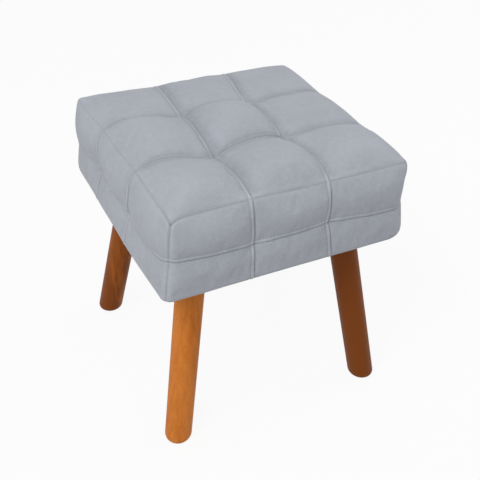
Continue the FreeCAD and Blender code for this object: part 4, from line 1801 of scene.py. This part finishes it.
@dataclass(frozen=True)
class Studio:
    """The camera at the photograph's angle, a pale floor and soft light."""

    azimuth: float = -26.11
    elevation: float = 36.06
    distance: float = 1.2911
    focal_pixels: float = 784.9
    roll: float = 1.36
    target_z: float = 0.230
    centre_x: float = -7.8
    centre_y: float = -5.3
    picture: int = 480
    sensor: float = 36.0
    light_z: float = 0.3
    world_light: float = 0.55
    floor_glow: float = 0.92
    floor_reach: float = 30.0

    def camera(self) -> None:
        """Places the camera on its ray from the target, rolled about its own axis."""
        data = bpy.data.cameras.new("camera")
        data.sensor_width = self.sensor
        data.lens = self.focal_pixels / self.picture * self.sensor
        data.shift_x = -self.centre_x / self.picture
        data.shift_y = self.centre_y / self.picture
        data.clip_start = 0.05
        a, e, r = (math.radians(v) for v in (self.azimuth, self.elevation, self.roll))
        back = Vector((math.sin(a) * math.cos(e), -math.cos(a) * math.cos(e), math.sin(e)))
        right = Vector((math.cos(a), math.sin(a), 0.0))
        up = back.cross(right)
        rolled_right = math.cos(r) * right + math.sin(r) * up
        rolled_up = -math.sin(r) * right + math.cos(r) * up
        camera = bpy.data.objects.new("camera", data)
        turn = Matrix((rolled_right, rolled_up, back)).transposed()
        place = Vector((0.0, 0.0, self.target_z)) + back * self.distance
        camera.matrix_world = Matrix.Translation(place) @ turn.to_4x4()
        bpy.context.scene.collection.objects.link(camera)
        bpy.context.scene.camera = camera

    def lamp(self, name: str, place: tuple, size: float, power: float, tint: tuple) -> None:
        """One large square lamp that faces the seat.

        Args:
            name: Its name.
            place: Where it hangs.
            size: Its side.
            power: Its power in watts.
            tint: Its colour.
        """
        data = bpy.data.lights.new(name, "AREA")
        data.size, data.energy, data.color = size, power, tint
        lamp = bpy.data.objects.new(name, data)
        lamp.location = place
        aim = Vector((0.0, 0.0, self.light_z)) - Vector(place)
        lamp.rotation_euler = aim.to_track_quat("-Z", "Y").to_euler()
        bpy.context.scene.collection.objects.link(lamp)

    def seen_by(self, recipe: Recipe, rays: tuple[str, str]) -> Value:
        """1 for two kinds of ray and 0 for all others."""
        first, second = (recipe.node("ShaderNodeLightPath", out=f"Is {ray} Ray") for ray in rays)
        return recipe.node("ShaderNodeMath", {"operation": "MAXIMUM"}, {0: first, 1: second})

    def surroundings(self) -> None:
        """A white background for the eye, and an even pale light for everything else."""
        recipe = Recipe("studio", bpy.data.worlds)
        white = {"Color": (1.0, 1.0, 1.0), "Strength": 1.0}
        pale = {"Color": (0.97, 0.985, 1.0), "Strength": self.world_light}
        seen, light = (recipe.node("ShaderNodeBackground", {}, values) for values in (white, pale))
        share = self.seen_by(recipe, ("Camera", "Transmission"))
        surface = recipe.node("ShaderNodeMixShader", {}, {0: share, 1: light, 2: seen})
        recipe.node("ShaderNodeOutputWorld", {}, {"Surface": surface})
        bpy.context.scene.world = recipe.owner

    def floor(self) -> None:
        """A wide pale floor that keeps a faint shadow and fades into the background."""
        recipe = Recipe("pale_floor")
        grain = recipe.noise(recipe.place(), 30.0, 2.0)
        base = recipe.mix(grain, (0.70, 0.70, 0.70), (0.74, 0.74, 0.74))
        cloth = recipe.node("ShaderNodeBsdfDiffuse", {}, {"Color": base})
        glow = recipe.node("ShaderNodeEmission", {}, {"Color": (1.0, 1.0, 1.0), "Strength": 1.0})
        share = self.seen_by(recipe, ("Camera", "Glossy")) * self.floor_glow
        surface = recipe.node("ShaderNodeMixShader", {}, {0: share, 1: cloth, 2: glow})
        recipe.node("ShaderNodeOutputMaterial", {}, {"Surface": surface})
        corners = np.array([[-1, -1, 0], [1, -1, 0], [1, 1, 0], [-1, 1, 0]]) * self.floor_reach
        ground = mesh_of("floor", corners, [numbered(1, 4)], smooth=False)
        ground.data.materials.append(recipe.owner)

    def build(self) -> None:
        """Makes the camera, the floor, the background and the lamps."""
        self.camera()
        self.floor()
        self.surroundings()
        self.lamp("key", (-1.7, -1.0, 2.7), 1.4, 49.0, (1.0, 0.99, 0.97))
        self.lamp("rim", (2.2, 0.1, 1.6), 0.9, 13.0, (1.0, 0.99, 0.98))
        bpy.context.scene.view_settings.view_transform = "Standard"
        log.info("studio ready")


def main() -> None:
    """Builds the studio, then the pouf piece by piece."""
    logging.basicConfig(level=logging.INFO, format="%(name)s: %(message)s")
    for old in list(bpy.data.objects):
        if old.name in ("Cube", "Light", "Camera"):
            bpy.data.objects.remove(old)
    Studio().build()
    materials = InnerFrame().build()
    cover = Cover(SeatFrame.measured(), puff=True)
    cover.build(Suede().material(), Thread().material())
    FoamPads(cover).build(materials["foam"])
    Ties().build(cover, materials["twine"])
    DustSheet().build(materials["dust_cloth"])
    wood = StainedWood().material()
    for corner, tone in LEG_STAIN_AND_SHADE.items():
        Leg(corner, tone).build(wood)
    log.info("legs: %d", len(LEG_STAIN_AND_SHADE))


if __name__ == "__main__":
    main()
